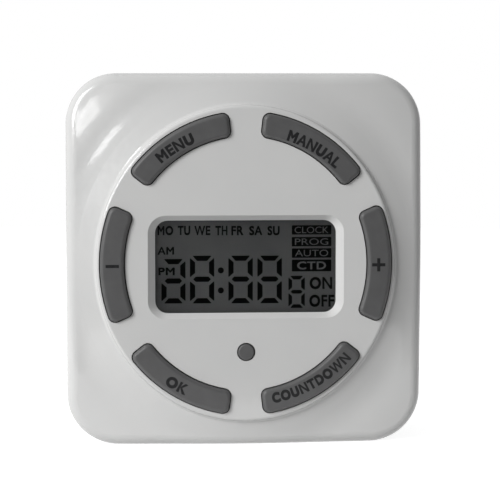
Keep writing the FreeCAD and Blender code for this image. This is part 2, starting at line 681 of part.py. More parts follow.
def rear_cover():
    body = doc.addObject("PartDesign::Body", "cover_form")
    outline = sketch_in(body, "cover_outline", "y", "At.back_y")
    draw_rounded(outline, ("-At.half_width", "At.half_width"), ("-At.half_height", "At.half_height"),
                 "Sizes.corner_radius")
    pad(body, "cover_pad", outline, "Sizes.cover_depth")
    boss_outline = sketch_in(body, "boss_outline", "y", "0")
    boss_x = around("Sizes.plug_x", "Sizes.boss_width")
    boss_z = around("Sizes.plug_rise", "Sizes.boss_tall")
    draw_rounded(boss_outline, boss_x, boss_z, "Sizes.boss_round")
    boss = pad(body, "boss_pad", boss_outline, "Sizes.boss_height + 0.5")
    doc.recompute()
    back_edges = [f"Edge{number}" for number, edge in enumerate(boss.Shape.Edges, 1)
                  if lies_at("y", float(at.back_y))(edge) and on_case_edge(edge)]
    soft_back = body.newObject("PartDesign::Fillet", "cover_back_round")
    soft_back.Base = (boss, back_edges)
    bind(soft_back, {"Radius": "Sizes.back_round"})
    doc.recompute()
    seam_edges = [f"Edge{number}" for number, edge in enumerate(soft_back.Shape.Edges, 1)
                  if lies_at("y", float(at.split_y))(edge)]
    seam = body.newObject("PartDesign::Chamfer", "cover_seam")
    seam.Base = (soft_back, seam_edges)
    bind(seam, {"Size": "Sizes.seam_chamfer"})
    doc.recompute()
    hollow_outline = sketch_in(body, "cover_hollow_outline", "y", "At.inner_back_y")
    inner = "Sizes.wall"
    draw_rounded(hollow_outline, (f"-At.half_width + {inner}", f"At.half_width - {inner}"),
                 (f"-At.half_height + {inner}", f"At.half_height - {inner}"),
                 f"Sizes.corner_radius - {inner}")
    before = seam.Shape.Volume
    hollow = body.newObject("PartDesign::Pocket", "cover_hollow")
    hollow.Profile = hollow_outline
    hollow.Reversed = True
    bind(hollow, {"Length": "Sizes.cover_depth"})
    doc.recompute()
    if hollow.Shape.Volume > 0.8 * before:
        raise ValueError("the rear cover is not hollow")
    posts = []
    holes = []
    for name, left, up in CORNERS:
        centre = (f"{left} * At.post_x", f"{up} * At.post_z")
        posts.append(rod(f"cover_post_{name}", "y", ("At.split_y", "At.inner_back_y + 0.5"), centre,
                         "Sizes.cover_post_radius"))
        holes.append(rod(f"cover_hole_{name}", "y", ("At.split_y - 1", "At.back_y + 1"), centre,
                         "Sizes.screw_radius + Sizes.screw_play"))
        holes.append(rod(f"head_recess_{name}", "y", ("At.seat_y", "At.back_y + 1"), centre,
                         "Sizes.screw_head_radius + Sizes.screw_head_gap"))
    for number, centre in enumerate(power_screw_places(), 1):
        posts.append(rod(f"power_post_{number}", "y", ("At.power_back_y", "At.inner_back_y + 0.5"), centre,
                         "Sizes.board_screw_head"))
        holes.append(rod(f"power_pilot_{number}", "y", ("At.power_back_y - 1", "At.inner_back_y + 0.6"),
                         centre, "Sizes.board_screw_radius"))
    fit = "2 * Sizes.metal_fit"
    through = ("At.inner_back_y - 1", "1")
    for name in ("line", "neutral"):
        thick = around(f"At.{name}_x", f"Sizes.blade_thick + {fit}")
        tall = around("At.blade_z", f"Sizes.blade_width + {fit}")
        holes.append(block(f"{name}_blade_slot", thick, through, tall))
    holes.append(rod("ground_pin_hole", "y", through, ("Sizes.plug_x", "At.ground_z"),
                     "Sizes.ground_radius + Sizes.ground_seat + Sizes.metal_fit"))
    whole = together("cover_with_posts", body, *posts)
    return without("rear_cover", whole, outlet_notch("cover_notch"), *holes)


def on_case_edge(edge):
    spots = ends(edge)
    bend = size("corner_radius")
    return any(abs(spot.x) > float(at.half_width) - bend - 1e-3
               and abs(spot.z) > float(at.half_height) - bend - 1e-3 for spot in spots)


def power_screw_places():
    yield ("At.power_left_x + 4", "At.power_z - 3")
    yield ("At.power_right_x - 3.5", "-At.power_z + 2.5")


def screw(name, centre, y, radius, head_radius, head_thick):
    tip, seat = y
    shank = rod(f"{name}_shank", "y", (tip, f"{seat} + 0.2"), centre, radius)
    head = rod(f"{name}_head", "y", (seat, f"{seat} + {head_thick}"), centre, head_radius)
    slot = (f"{seat} + {head_thick} / 2", f"{seat} + {head_thick} + 1")
    cross = [
        block(f"{name}_cross_{turn}", around(centre[0], wide), slot, around(centre[1], tall))
        for turn, wide, tall in (("level", f"1.3 * {head_radius}", "0.25 * " + head_radius),
                                 ("upright", "0.25 * " + head_radius, f"1.3 * {head_radius}"))
    ]
    return without(name, together(f"{name}_blank", shank, head), *cross)


def case_screws():
    return [
        screw(f"case_screw_{name}", (f"{left} * At.post_x", f"{up} * At.post_z"),
              ("At.split_y - Sizes.screw_bite", "At.seat_y"), "Sizes.screw_radius",
              "Sizes.screw_head_radius", "Sizes.screw_head_thick")
        for name, left, up in CORNERS
    ]


# Keys and display

def arc_keys():
    whole = ("At.key_top_y", "At.lip_back_y")
    lip_y = ("At.lip_front_y", "At.lip_back_y")
    cap_ring = key_ring("cap_ring", "0", whole)
    lip_ring = key_ring("lip_ring", "Sizes.lip_out", lip_y)
    keys = []
    for index, name in enumerate(KEYS):
        cap = shared(f"{name}_cap_raw", cap_ring, key_wedge(f"{name}_cap_wedge", index, 0, whole))
        top = lies_at("y", float(at.key_top_y))
        cap = rounded(f"{name}_cap", cap, (size("key_corner"), runs_along("y")), (size("key_edge"), top))
        wedge = key_wedge(f"{name}_lip_wedge", index, size("lip_out"), lip_y)
        keys.append(together(f"{name}_key", cap, shared(f"{name}_lip", lip_ring, wedge)))
    return keys


def reset_button():
    centre = ("0", "At.reset_z")
    stem = rod("reset_stem", "y", ("At.dial_y - Sizes.reset_proud", "At.lip_back_y"), centre,
               "Sizes.reset_diameter / 2")
    lip = rod("reset_lip", "y", ("At.lip_front_y", "At.lip_back_y"), centre,
              "Sizes.reset_diameter / 2 + Sizes.lip_out")
    top = lies_at("y", float(at.dial_y) - size("reset_proud"))
    return rounded("reset_button", together("reset_blank", stem, lip), (size("reset_edge"), top))


def key_mat():
    y = ("At.mat_front_y", "At.board_front_y")
    sheet = oval("mat_sheet", "At.board_x", "At.board_z", y)
    spots = [(name, on_ring(index * size("key_pitch"))) for index, name in enumerate(KEYS)]
    spots.append(("reset", ("0", "At.reset_z")))
    domes = []
    hollows = []
    for name, centre in spots:
        domes.append(rod(f"{name}_dome", "y", ("At.lip_back_y", "At.mat_front_y"), centre,
                         "Sizes.dome_top_radius", "Sizes.dome_radius"))
        hollows.append(rod(f"{name}_dome_hollow", "y",
                           ("At.mat_front_y - Sizes.dome_height / 3", "At.board_front_y + 1"), centre,
                           "Sizes.dome_top_radius"))
    through = ("At.mat_front_y - 1", "At.board_front_y + 1")
    opening = block("mat_opening", around("0", "2 * (At.holder_x + Sizes.mat_gap)"), through,
                    around("At.window_z", "2 * (At.holder_z + Sizes.mat_gap)"))
    holes = [rod(f"mat_hole_{number}", "y", through, centre, "Sizes.pillar_radius + Sizes.mat_gap")
             for number, centre in enumerate(pillar_places(), 1)]
    return without("key_mat", together("mat_blank", sheet, *domes), opening, *hollows, *holes)


def display():
    pane = pane_outline("display_window", "0", ("At.pane_front_y", "At.pane_back_y"))
    width = around("0", "2 * At.glass_x")
    front_glass = block("display_front_glass", width, ("At.glass_front_y", "At.glass_middle_y"),
                        around("At.window_z", "2 * At.glass_z"))
    rear_glass = block("display_rear_glass", width, ("At.glass_middle_y", "At.glass_back_y"),
                       around("At.window_z", "2 * At.rear_glass_z"))
    holder_y = ("At.pane_back_y + Sizes.glass_gap / 2", "At.board_front_y")
    frame = tablet("holder_frame", ("-At.holder_x", "At.holder_x"), holder_y,
                   ("At.window_z - At.holder_z", "At.window_z + At.holder_z"), "Sizes.holder_round")
    room = block("holder_room", around("0", "2 * (At.glass_x + Sizes.glass_gap)"),
                 ("At.pane_back_y - 1", "At.board_front_y + 1"),
                 around("At.window_z", "2 * (At.glass_z + Sizes.glass_gap)"))
    holder = without("display_holder", frame, room)
    ledge = "(At.rear_glass_z + Sizes.glass_ledge / 2)"
    strips = [
        block(f"{name}_contact_strip", around("0", "2 * At.glass_x - 2"),
              ("At.glass_middle_y", "At.board_front_y"),
              around(f"At.window_z + {side} * {ledge}", "Sizes.strip_width"))
        for name, side in (("upper", 1), ("lower", -1))
    ]
    return [pane, front_glass, rear_glass, holder, *strips]


# Control board and what it carries

def control_board():
    sheet = oval("control_sheet", "At.board_x", "At.board_z", ("At.board_front_y", "At.board_back_y"))
    through = ("At.board_front_y - 1", "At.board_back_y + 1")
    holes = [rod(f"control_hole_{number}", "y", through, centre, "Sizes.board_screw_radius + Sizes.mat_gap")
             for number, centre in enumerate(pillar_places(), 1)]
    return without("control_board", sheet, *holes)


def control_board_parts():
    # The chip stays above the pin strip, and the cell on the near side of its pillar's screw
    face = "At.board_back_y"
    chip_x = "-0.8 * Sizes.chip_side"
    chip_z = "max(0; At.link_top_z + Sizes.part_gap + Sizes.chip_side / 2)"
    chip = block("control_chip", around(chip_x, "Sizes.chip_side"), (face, f"{face} + Sizes.chip_thick"),
                 around(chip_z, "Sizes.chip_side"))
    crystal_z = f"{chip_z} + Sizes.chip_side / 2 + 4 * Sizes.crystal_radius"
    crystal = rod("clock_crystal", "x", around(chip_x, "Sizes.crystal_length"),
                  (f"{face} + Sizes.crystal_radius", crystal_z), "Sizes.crystal_radius")
    screw_reach = "Sizes.board_screw_head + Sizes.part_gap + Sizes.cell_radius"
    cell_x = f"min(At.outlet_rear_x + Sizes.cell_radius / 2; {pillar_places()[0][0]} - ({screw_reach}))"
    cell = rod("backup_cell", "y", (face, f"{face} + Sizes.cell_thick"),
               (cell_x, "At.outlet_top_z + 1.5 * Sizes.cell_radius"), "Sizes.cell_radius")
    tip = f"{face} - Sizes.board_thick - 2.5"
    screws = [
        screw(f"control_screw_{number}", centre, (tip, face), "Sizes.board_screw_radius",
              "Sizes.board_screw_head", "0.6 * Sizes.board_screw_head")
        for number, centre in enumerate(pillar_places(), 1)
    ]
    return [chip, crystal, cell, *screws]


def board_link():
    # A five-way pin strip that joins the two boards
    x = "At.relay_x + Sizes.relay_width + Sizes.part_gap + Sizes.link_width / 2"
    low = "At.relay_z"
    y = ("At.board_back_y", "At.power_front_y")
    z = (low, "At.link_top_z")
    foot = block("link_socket", around(x, "Sizes.link_width"), (f"{y[1]} - Sizes.link_foot", y[1]), z)
    head = block("link_collar", around(x, "Sizes.link_width"), (y[0], f"{y[0]} + Sizes.link_head"), z)
    pins = [block(f"link_pin_{number}", around(x, "Sizes.pin_side"), y,
                  around(f"{low} + {number + 0.5} * Sizes.pin_pitch", "Sizes.pin_side"))
            for number in range(5)]
    return together("board_link", foot, head, *pins)


# Plug and power board

def blade(name, x):
    wide, tail = "Sizes.blade_width / 2", "Sizes.blade_tail / 2"
    shoulder = f"({wide} + Sizes.blade_shoulder)"
    z = "At.blade_z"
    tip = "Sizes.blade_length"
    corners = [
        ("At.tail_y", f"{z} - {tail}"), ("At.power_back_y", f"{z} - {tail}"),
        ("At.power_back_y", f"{z} - {shoulder}"), ("At.inner_back_y", f"{z} - {shoulder}"),
        ("At.inner_back_y", f"{z} - {wide}"), (f"{tip} - 1.5", f"{z} - {wide}"),
        (tip, f"{z} - {wide} + 1.2"), (tip, f"{z} + {wide} - 1.2"),
        (f"{tip} - 1.5", f"{z} + {wide}"), ("At.inner_back_y", f"{z} + {wide}"),
        ("At.inner_back_y", f"{z} + {shoulder}"), ("At.power_back_y", f"{z} + {shoulder}"),
        ("At.power_back_y", f"{z} + {tail}"), ("At.tail_y", f"{z} + {tail}"),
    ]
    sheet = folded(f"{name}_strip", "x", around(x, "Sizes.blade_thick"), corners)
    hole = rod(f"{name}_tip_hole", "x", (f"{x} - 2", f"{x} + 2"),
               ("Sizes.blade_length - Sizes.blade_hole_in", z), "Sizes.blade_hole")
    bored = without(f"{name}_bored", sheet, hole)
    at_tip, upright = lies_at("y", size("blade_length")), runs_along("z")
    return chamfered(name, bored, (0.3 * size("blade_thick"), lambda edge: at_tip(edge) and upright(edge)))


def ground_pin():
    centre = ("Sizes.plug_x", "At.ground_z")
    shank = rod("ground_shank", "y", ("At.power_back_y", "Sizes.ground_length"), centre,
                "Sizes.ground_radius")
    seat = rod("ground_seat", "y", ("At.power_back_y", "0"), centre,
               "Sizes.ground_radius + Sizes.ground_seat")
    collar = rod("ground_collar", "y", ("At.power_back_y", "At.inner_back_y"), centre,
                 "Sizes.ground_radius + Sizes.blade_shoulder / 2")
    tail = rod("ground_tail", "y", ("At.tail_y", "At.inner_back_y"), centre, "Sizes.blade_tail / 2")
    nose = lies_at("y", size("ground_length"))
    return rounded("ground_pin", together("ground_blank", shank, seat, collar, tail),
                   (0.75 * size("ground_radius"), nose))


def power_board():
    sheet = block("power_sheet", ("At.power_left_x", "At.power_right_x"),
                  ("At.power_front_y", "At.power_back_y"), ("-At.power_z", "At.power_z"))
    through = ("At.power_front_y - 1", "At.power_back_y + 1")
    fit = "2 * Sizes.metal_fit"
    holes = [block(f"{name}_tail_slot", around(f"At.{name}_x", f"Sizes.blade_thick + {fit}"), through,
                   around("At.blade_z", f"Sizes.blade_tail + {fit}")) for name in ("line", "neutral")]
    holes.append(rod("ground_tail_hole", "y", through, ("Sizes.plug_x", "At.ground_z"),
                     "Sizes.blade_tail / 2 + Sizes.metal_fit"))
    for number, centre in enumerate(power_screw_places(), 1):
        holes.append(rod(f"power_hole_{number}", "y", through, centre,
                         "Sizes.board_screw_radius + Sizes.mat_gap"))
    return without("power_board", sheet, *holes)


def power_screws():
    # These screws go in from the front, so each is turned end for end
    screws = []
    for number, (x, z) in enumerate(power_screw_places(), 1):
        face = "At.power_front_y"
        shank = rod(f"power_shank_{number}", "y", (f"{face} - 0.2", "At.inner_back_y + 0.4"), (x, z),
                    "Sizes.board_screw_radius")
        head = rod(f"power_head_{number}", "y", (f"{face} - 1.1", face), (x, z), "Sizes.board_screw_head")
        cross = block(f"power_cross_{number}", around(x, "1.3 * Sizes.board_screw_head"),
                      (f"{face} - 2", f"{face} - 0.6"), around(z, "0.3 * Sizes.board_screw_head"))
        blank = together(f"power_screw_{number}_blank", shank, head)
        screws.append(without(f"power_screw_{number}", blank, cross))
    return screws


def power_parts():
    face = "At.power_front_y"
    top = "At.parts_top_z"
    left = "At.power_left_x + 3"
    dropper = tablet("dropper_capacitor", ("At.parts_x", "At.parts_x + Sizes.dropper_width"),
                     (f"{face} - Sizes.dropper_depth", face), (f"{top} - Sizes.dropper_tall", top),
                     "Sizes.dropper_round")
    smoothing = rod("smoothing_capacitor", "y", (f"{face} - Sizes.smoothing_depth", face),
                    ("At.smoothing_x", f"{top} - Sizes.smoothing_radius"), "Sizes.smoothing_radius")
    middle = f"{top} - Sizes.varistor_radius"
    disc = rod("varistor_disc", "z", around(middle, "Sizes.varistor_thick"),
               ("At.varistor_x", f"{face} - Sizes.varistor_radius - 1.5"), "Sizes.varistor_radius")
    legs = [block(f"varistor_leg_{side}",
                  around(f"At.varistor_x + {side} * Sizes.varistor_radius / 2", "Sizes.varistor_leg"),
                  (f"{face} - Sizes.varistor_radius / 2 - 1.5", face), around(middle, "Sizes.varistor_leg"))
            for side in (-1, 1)]
    varistor = together("varistor", disc, *legs)
    resistor = rod("fuse_resistor", "x", (left, f"{left} + Sizes.resistor_length"),
                   (f"{face} - Sizes.resistor_radius", "At.blade_z"), "Sizes.resistor_radius")
    low = "At.relay_z + Sizes.relay_tall + 1.5"
    bridge = block("bridge_rectifier", (left, f"{left} + Sizes.bridge_side"),
                   (f"{face} - Sizes.bridge_thick", face), (low, f"{low} + Sizes.bridge_side"))
    return [dropper, smoothing, varistor, resistor, bridge]


# Relay, with its coil standing on the base and its armature across the top

def relay():
    x0, z0 = "At.relay_x", "At.relay_z"
    skin, gap = "Sizes.relay_wall", "Sizes.relay_gap"
    x = (x0, f"{x0} + Sizes.relay_width")
    z = (z0, f"{z0} + Sizes.relay_tall")
    inside_x = (f"{x[0]} + {skin}", f"{x[1]} - {skin}")
    inside_z = (f"{z[0]} + {skin}", f"{z[1]} - {skin}")
    base = block("relay_base", inside_x, ("At.works_y", "At.power_front_y"), inside_z)
    lid = block("relay_lid", x, ("At.relay_front_y", "At.power_front_y"), z)
    room = block("relay_room", inside_x, (f"At.relay_front_y + {skin}", "At.power_front_y + 1"), inside_z)
    cover = without("relay_cover", lid, room)
    coil_x = f"{x0} + {skin} + {gap} + Sizes.coil_radius"
    centre = (coil_x, "At.works_z")
    core_top = "At.yoke_top_y - Sizes.armature_play + Sizes.armature_lift"
    core = rod("relay_core", "y", (core_top, "At.works_y - Sizes.yoke_thick"), centre, "Sizes.core_radius")
    winding = rod("coil_outside", "y", (f"{core_top} + 1", "At.works_y - Sizes.yoke_thick"), centre,
                  "Sizes.coil_radius")
    bore = rod("coil_bore", "y", (f"{core_top} - 1", "At.works_y + 1"), centre, "Sizes.core_radius")
    coil = without("relay_coil", winding, bore)
    half = "Sizes.relay_tall / 2 - Sizes.relay_wall - Sizes.relay_gap"
    works_z = (f"At.works_z - ({half})", f"At.works_z + ({half})")
    thick = "Sizes.yoke_thick"
    yoke = folded("relay_yoke", "z", works_z, [
        (f"{coil_x} - Sizes.coil_radius", f"At.works_y - {thick}"),
        (f"{coil_x} - Sizes.coil_radius", "At.works_y"), (f"At.yoke_x + {thick}", "At.works_y"),
        (f"At.yoke_x + {thick}", "At.yoke_top_y"), ("At.yoke_x", "At.yoke_top_y"),
        ("At.yoke_x", f"At.works_y - {thick}"),
    ])
    plate_back = "At.yoke_top_y - Sizes.armature_play"
    plate_front = f"{plate_back} - Sizes.armature_thick"
    arm_x = f"At.yoke_x + {thick} + 0.8"
    armature = block("relay_armature", (f"{coil_x} - Sizes.coil_radius", f"At.yoke_x + {thick}"),
                     (plate_front, plate_back), works_z)
    arm = folded("relay_contact_arm", "z", ("At.works_z - 2", "At.works_z + 2"), [
        ("At.yoke_x - 3", f"{plate_front} - 0.3"), ("At.yoke_x - 3", plate_front),
        (arm_x, plate_front), (arm_x, "At.works_y - 4"),
        (f"{arm_x} + 0.3", "At.works_y - 4"), (f"{arm_x} + 0.3", f"{plate_front} - 0.3"),
    ])
    stop_x = f"{arm_x} + 0.3 + Sizes.contact_gap"
    fixed = block("fixed_stem", (f"{stop_x}", f"{stop_x} + 0.6"), ("At.works_y - 7", "At.works_y"),
                  ("At.works_z - 2.5", "At.works_z + 2.5"))
    return [base, core, coil, yoke, armature, arm, cover], fixed


# Outlet on the right-hand side

def outlet_chambers():
    x = ("At.chamber_x - 1", "At.half_width - Sizes.outlet_face")
    for name in ("line", "neutral"):
        yield block(f"{name}_chamber", x, around(f"At.outlet_{name}_y", "Sizes.chamber_wide"),
                    around("Sizes.outlet_rise", "Sizes.chamber_tall"))
    yield block("ground_chamber", x, around("At.outlet_y", "Sizes.ground_chamber"),
                around("At.outlet_ground_z", "Sizes.ground_chamber"))


def outlet_insert():
    y = ("At.outlet_front_y", "At.outlet_back_y")
    z = ("At.outlet_low_z", "At.outlet_top_z")
    plain = block("outlet_block", ("At.chamber_x", "At.half_width"), y, z)
    face_edges = lies_at("x", float(at.half_width))
    solid = chamfered("outlet_face_block", plain, (size("outlet_chamfer"), face_edges))
    past = "Sizes.outlet_flange"
    flange = block("outlet_flange", ("At.inner_x - 1.2", "At.inner_x"),
                   (f"{y[0]} - {past}", f"{y[1]} + {past}"), (f"{z[0]} - {past}", f"{z[1]} + {past}"))
    through = ("At.half_width - Sizes.outlet_face - 1", "At.half_width + 1")
    slots = [block(f"{name}_face_slot", through, around(f"At.outlet_{name}_y", "Sizes.slot_width"),
                   around("Sizes.outlet_rise", f"Sizes.{name}_slot")) for name in ("line", "neutral")]
    hole = rod("ground_face_hole", "x", through, ("At.outlet_y", "At.outlet_ground_z"), "Sizes.ground_hole")
    whole = together("outlet_with_flange", solid, flange)
    return without("outlet_insert", whole, *outlet_chambers(), *slots, hole)


def contacts():
    # Each name, with its level from front to back, its height, the gap between its leaves and its foot
    return (
        ("line", "At.outlet_line_y", "Sizes.outlet_rise", "Sizes.clip_gap", "At.power_right_x - 1.6"),
        ("neutral", "At.outlet_neutral_y", "Sizes.outlet_rise", "Sizes.clip_gap", "At.power_right_x - 4.6"),
        ("ground", "At.outlet_y", "At.outlet_ground_z", "Sizes.ground_clip_gap", "At.power_right_x - 5.6"),
    )


def outlet_cap():
    plate = block("cap_plate", ("At.outlet_rear_x", "At.chamber_x"),
                  ("At.outlet_front_y", "At.outlet_back_y"), ("At.outlet_low_z", "At.outlet_top_z"))
    fit = "2 * Sizes.metal_fit"
    slots = [block(f"{name}_cap_slot", ("At.outlet_rear_x - 1", "At.chamber_x + 1"),
                   around(y, f"Sizes.strap_thick + {fit}"), around(z, f"Sizes.clip_wide + {fit}"))
             for name, y, z, gap, foot in contacts()]
    return without("outlet_cap", plate, *slots)


def outlet_metal():
    metal = []
    for name, y, z, gap, foot in contacts():
        tail = "Sizes.strap_thick / 2"
        inner = f"({gap}) / 2"
        outer = f"{inner} + Sizes.clip_thick"
        start, web = "At.outlet_rear_x - 1.5", "At.chamber_x + 0.3"
        floor = f"{web} + Sizes.clip_thick"
        mouth = "At.half_width - Sizes.outlet_face - Sizes.clip_mouth"
        upper_half = [(start, tail), (web, tail), (web, outer), (mouth, outer), (mouth, inner),
                      (floor, inner)]
        corners = [(x, f"{y} + {up}") for x, up in upper_half]
        corners += [(x, f"{y} - ({up})") for x, up in reversed(upper_half)]
        clip = folded(f"outlet_{name}_contact", "z", around(z, "Sizes.clip_wide"), corners)
        near = f"{y} + {tail}"
        far = f"{near} + Sizes.strap_thick"
        end = "At.outlet_rear_x - 0.1"
        bend = f"{foot} + Sizes.strap_thick"
        strap = folded(f"{name}_strap", "z", around(z, "Sizes.clip_wide"), [
            (foot, near), (end, near), (end, far), (bend, far), (bend, "At.power_front_y"),
            (foot, "At.power_front_y"),
        ])
        metal.extend([clip, strap])
    return metal


# Build everything, check it and write one file for each piece

works, fixed_contact = relay()
fixed_contact.Label = "relay_fixed_contact"
nodes = [
    front_shell(), rear_cover(), *case_screws(), *arc_keys(), reset_button(), key_mat(), *display(),
    control_board(), *control_board_parts(), board_link(),
    blade("line_blade", "At.line_x"), blade("neutral_blade", "At.neutral_x"), ground_pin(),
    power_board(), *power_screws(), *power_parts(), *works, fixed_contact,
    outlet_insert(), outlet_cap(), *outlet_metal(),
]
doc.recompute()

for item in doc.Objects:
    if "Invalid" in item.State or "Error" in item.State:
        raise ValueError(f"{item.Label} did not build")
for item in nodes:
    if item.Shape.isNull() or not item.Shape.isValid():
        raise ValueError(f"{item.Label} has no sound shape")
    if len(item.Shape.Solids) != 1:
        raise ValueError(f"{item.Label} has {len(item.Shape.Solids)} solids")

os.makedirs("parts", exist_ok=True)
for item in nodes:
    item.Shape.exportStep(f"parts/{item.Label}.step")
    print(f"{item.Label}: {item.Shape.Volume:.1f} cubic mm")
print(f"{len(nodes)} pieces")
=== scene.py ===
import json
import math

import bpy
from mathutils import Matrix, Quaternion, Vector


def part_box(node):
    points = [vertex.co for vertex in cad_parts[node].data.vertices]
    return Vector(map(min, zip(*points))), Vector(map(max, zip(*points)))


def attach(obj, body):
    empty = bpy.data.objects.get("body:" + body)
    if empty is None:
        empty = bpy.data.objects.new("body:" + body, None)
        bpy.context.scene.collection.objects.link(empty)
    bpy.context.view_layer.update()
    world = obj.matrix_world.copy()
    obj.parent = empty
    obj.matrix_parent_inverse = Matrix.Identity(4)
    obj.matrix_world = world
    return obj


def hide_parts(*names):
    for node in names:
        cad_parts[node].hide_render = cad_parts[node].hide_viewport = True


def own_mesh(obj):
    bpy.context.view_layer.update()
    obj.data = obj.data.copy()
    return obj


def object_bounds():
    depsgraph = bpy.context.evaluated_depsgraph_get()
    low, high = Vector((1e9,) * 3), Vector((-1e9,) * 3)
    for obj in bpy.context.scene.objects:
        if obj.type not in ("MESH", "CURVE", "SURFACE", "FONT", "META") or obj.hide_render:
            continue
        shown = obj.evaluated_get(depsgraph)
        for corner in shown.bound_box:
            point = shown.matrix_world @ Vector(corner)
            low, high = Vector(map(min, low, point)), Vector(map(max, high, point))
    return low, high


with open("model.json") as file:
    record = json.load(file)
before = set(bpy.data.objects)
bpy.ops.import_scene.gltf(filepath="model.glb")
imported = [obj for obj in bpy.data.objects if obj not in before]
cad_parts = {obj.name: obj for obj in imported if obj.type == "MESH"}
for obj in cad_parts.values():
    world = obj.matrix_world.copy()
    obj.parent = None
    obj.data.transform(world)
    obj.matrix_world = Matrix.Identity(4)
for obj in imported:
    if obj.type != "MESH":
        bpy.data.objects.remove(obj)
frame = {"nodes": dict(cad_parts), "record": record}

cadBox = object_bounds()
nodes = frame["nodes"]
mm = 0.001
bpy.context.scene.view_settings.view_transform = "Standard"


# Selecting and placing

def deselectAll():
    if bpy.context.object and bpy.context.object.mode != "OBJECT":
        bpy.ops.object.mode_set(mode="OBJECT")
    bpy.ops.object.select_all(action="DESELECT")


def pick(*things):
    deselectAll()
    for thing in things:
        thing.select_set(True)
    bpy.context.view_layer.objects.active = things[0]


def bakePlace(thing):
    pick(thing)
    bpy.ops.object.transform_apply(location=True, rotation=True, scale=True)


def startEdit(thing, action="SELECT"):
    pick(thing)
    bpy.ops.object.mode_set(mode="EDIT")
    bpy.ops.mesh.select_all(action=action)


def endEdit():
    bpy.ops.object.mode_set(mode="OBJECT")


def smoothBelow(thing, degrees):
    pick(thing)
    bpy.ops.object.shade_smooth_by_angle(angle=math.radians(degrees))


def applyModifier(thing, kind, **settings):
    pick(thing)
    bpy.ops.object.modifier_add(type=kind)
    modifier = thing.modifiers[-1]
    for key, value in settings.items():
        setattr(modifier, key, value)
    bpy.ops.object.modifier_apply(modifier=modifier.name)


inkDepth = 0.02  # how thick printed ink is, in mm
inkSink = 0.004  # how far it lies in its face


def thicken(thing):
    # From a flat drawing to a film with a thickness, its front up
    startEdit(thing)
    bpy.ops.mesh.extrude_region_move(TRANSFORM_OT_translate={"value": (0, 0, inkDepth * mm)})
    bpy.ops.mesh.select_all(action="SELECT")
    bpy.ops.mesh.normals_make_consistent(inside=False)
    endEdit()


def moveTo(thing, place):
    thing.location = (place[0] * mm, place[1] * mm, 0)
    bakePlace(thing)
    return thing


def joinPieces(things):
    pick(*things)
    bpy.ops.object.join()
    return bpy.context.object


def standAgainstFace(thing, place, turn=0.0, sink=inkSink):
    # Lays a flat piece, drawn in X and Y, against a face that looks to -Y; turn is in degrees, as seen
    x, y, z = place
    thing.matrix_world = (Matrix.Translation((x * mm, (y + sink) * mm, z * mm))
                          @ Matrix.Rotation(math.radians(-turn), 4, "Y")
                          @ Matrix.Rotation(math.radians(90), 4, "X"))
    bakePlace(thing)


def finishPiece(thing, name, body, material):
    thing.name = name
    thing.data.name = name
    thing.data.materials.clear()
    thing.data.materials.append(material)
    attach(thing, body)


def aim(azimuth, elevation):
    # The way to a place seen from the object: degrees right of the front, and degrees up
    around, above = math.radians(azimuth), math.radians(elevation)
    return Vector((math.sin(around) * math.cos(above), -math.cos(around) * math.cos(above), math.sin(above)))


# Camera

cameraView = {
    "place": (-28.8, -430.6, 33.7),  # in mm
    "azimuth": -4.25,  # where it stands, in degrees
    "elevation": 4.54,
    "lens": 156.4,
    "sensor": 36,
    "clip": (0.01, 20),  # in metres
}


def makeCamera():
    back = aim(cameraView["azimuth"], cameraView["elevation"])
    bpy.ops.object.camera_add()
    camera = bpy.context.object
    camera.name = "camera"
    camera.location = [value * mm for value in cameraView["place"]]
    camera.rotation_mode = "QUATERNION"
    camera.rotation_quaternion = (-back).to_track_quat("-Z", "Y")
    camera.data.sensor_width = cameraView["sensor"]
    camera.data.lens = cameraView["lens"]
    camera.data.clip_start, camera.data.clip_end = cameraView["clip"]
    bpy.context.scene.camera = camera


# Lamps, world and floor

lamps = {
    # Where each stands round the object in degrees and metres, its size, its power and its turn
    "leftSoftbox": {"azimuth": -48, "elevation": 24, "distance": 0.70, "size": (0.26, 0.34),
                    "power": 3.45, "turn": 0},
    "cornerWindow": {"azimuth": -18, "elevation": 12.5, "distance": 0.80, "size": (0.085, 0.10),
                     "power": 0.25, "turn": 45},
}
lampTarget = (0, -0.020, 0)
surroundings = {
    # How much the room lights the object from each side; each "From" is a range of the direction's Y
    "ambientLeft": 0.44,
    "ambientRight": 0.03,
    "ambientBack": 0.50,
    "backFrom": (0.05, 0.8),
    # How bright it looks in gloss, near the viewer and to the sides
    "frontReflection": 0.02,
    "sideReflection": 0.80,
    "reflectionFrom": (-0.85, 0.15),
    # It is dark through glass round the viewer, so the display pane mirrors nothing
    "viewerFrom": (-0.98, -0.96),
}
floorLook = {
    # In metres; its middle lies behind the object, so the display doesn't mirror it
    "colour": 0.62,
    "lift": 0.84,  # the light it seems to give when it is looked at
    "radius": 0.33,
    "back": 0.24,
    "gap": 0.00002,
    "corners": 96,
}


def makeLamps():
    for name, lamp in lamps.items():
        away = aim(lamp["azimuth"], lamp["elevation"])
        bpy.ops.object.light_add(type="AREA")
        light = bpy.context.object
        light.name = name
        light.location = Vector(lampTarget) + away * lamp["distance"]
        light.rotation_mode = "QUATERNION"
        light.rotation_quaternion = (away.to_track_quat("Z", "Y")
                                     @ Quaternion((0, 0, 1), math.radians(lamp["turn"])))
        light.data.shape = "RECTANGLE"
        light.data.size, light.data.size_y = lamp["size"]
        light.data.energy = lamp["power"]


def spreadOver(tree, value, ends, levels):
    # A level that goes evenly from one to the other while the value goes between its ends
    spread = tree.nodes.new("ShaderNodeMapRange")
    spread.inputs["From Min"].default_value, spread.inputs["From Max"].default_value = ends
    spread.inputs["To Min"].default_value, spread.inputs["To Max"].default_value = levels
    tree.links.new(value, spread.inputs["Value"])
    return spread.outputs["Result"]


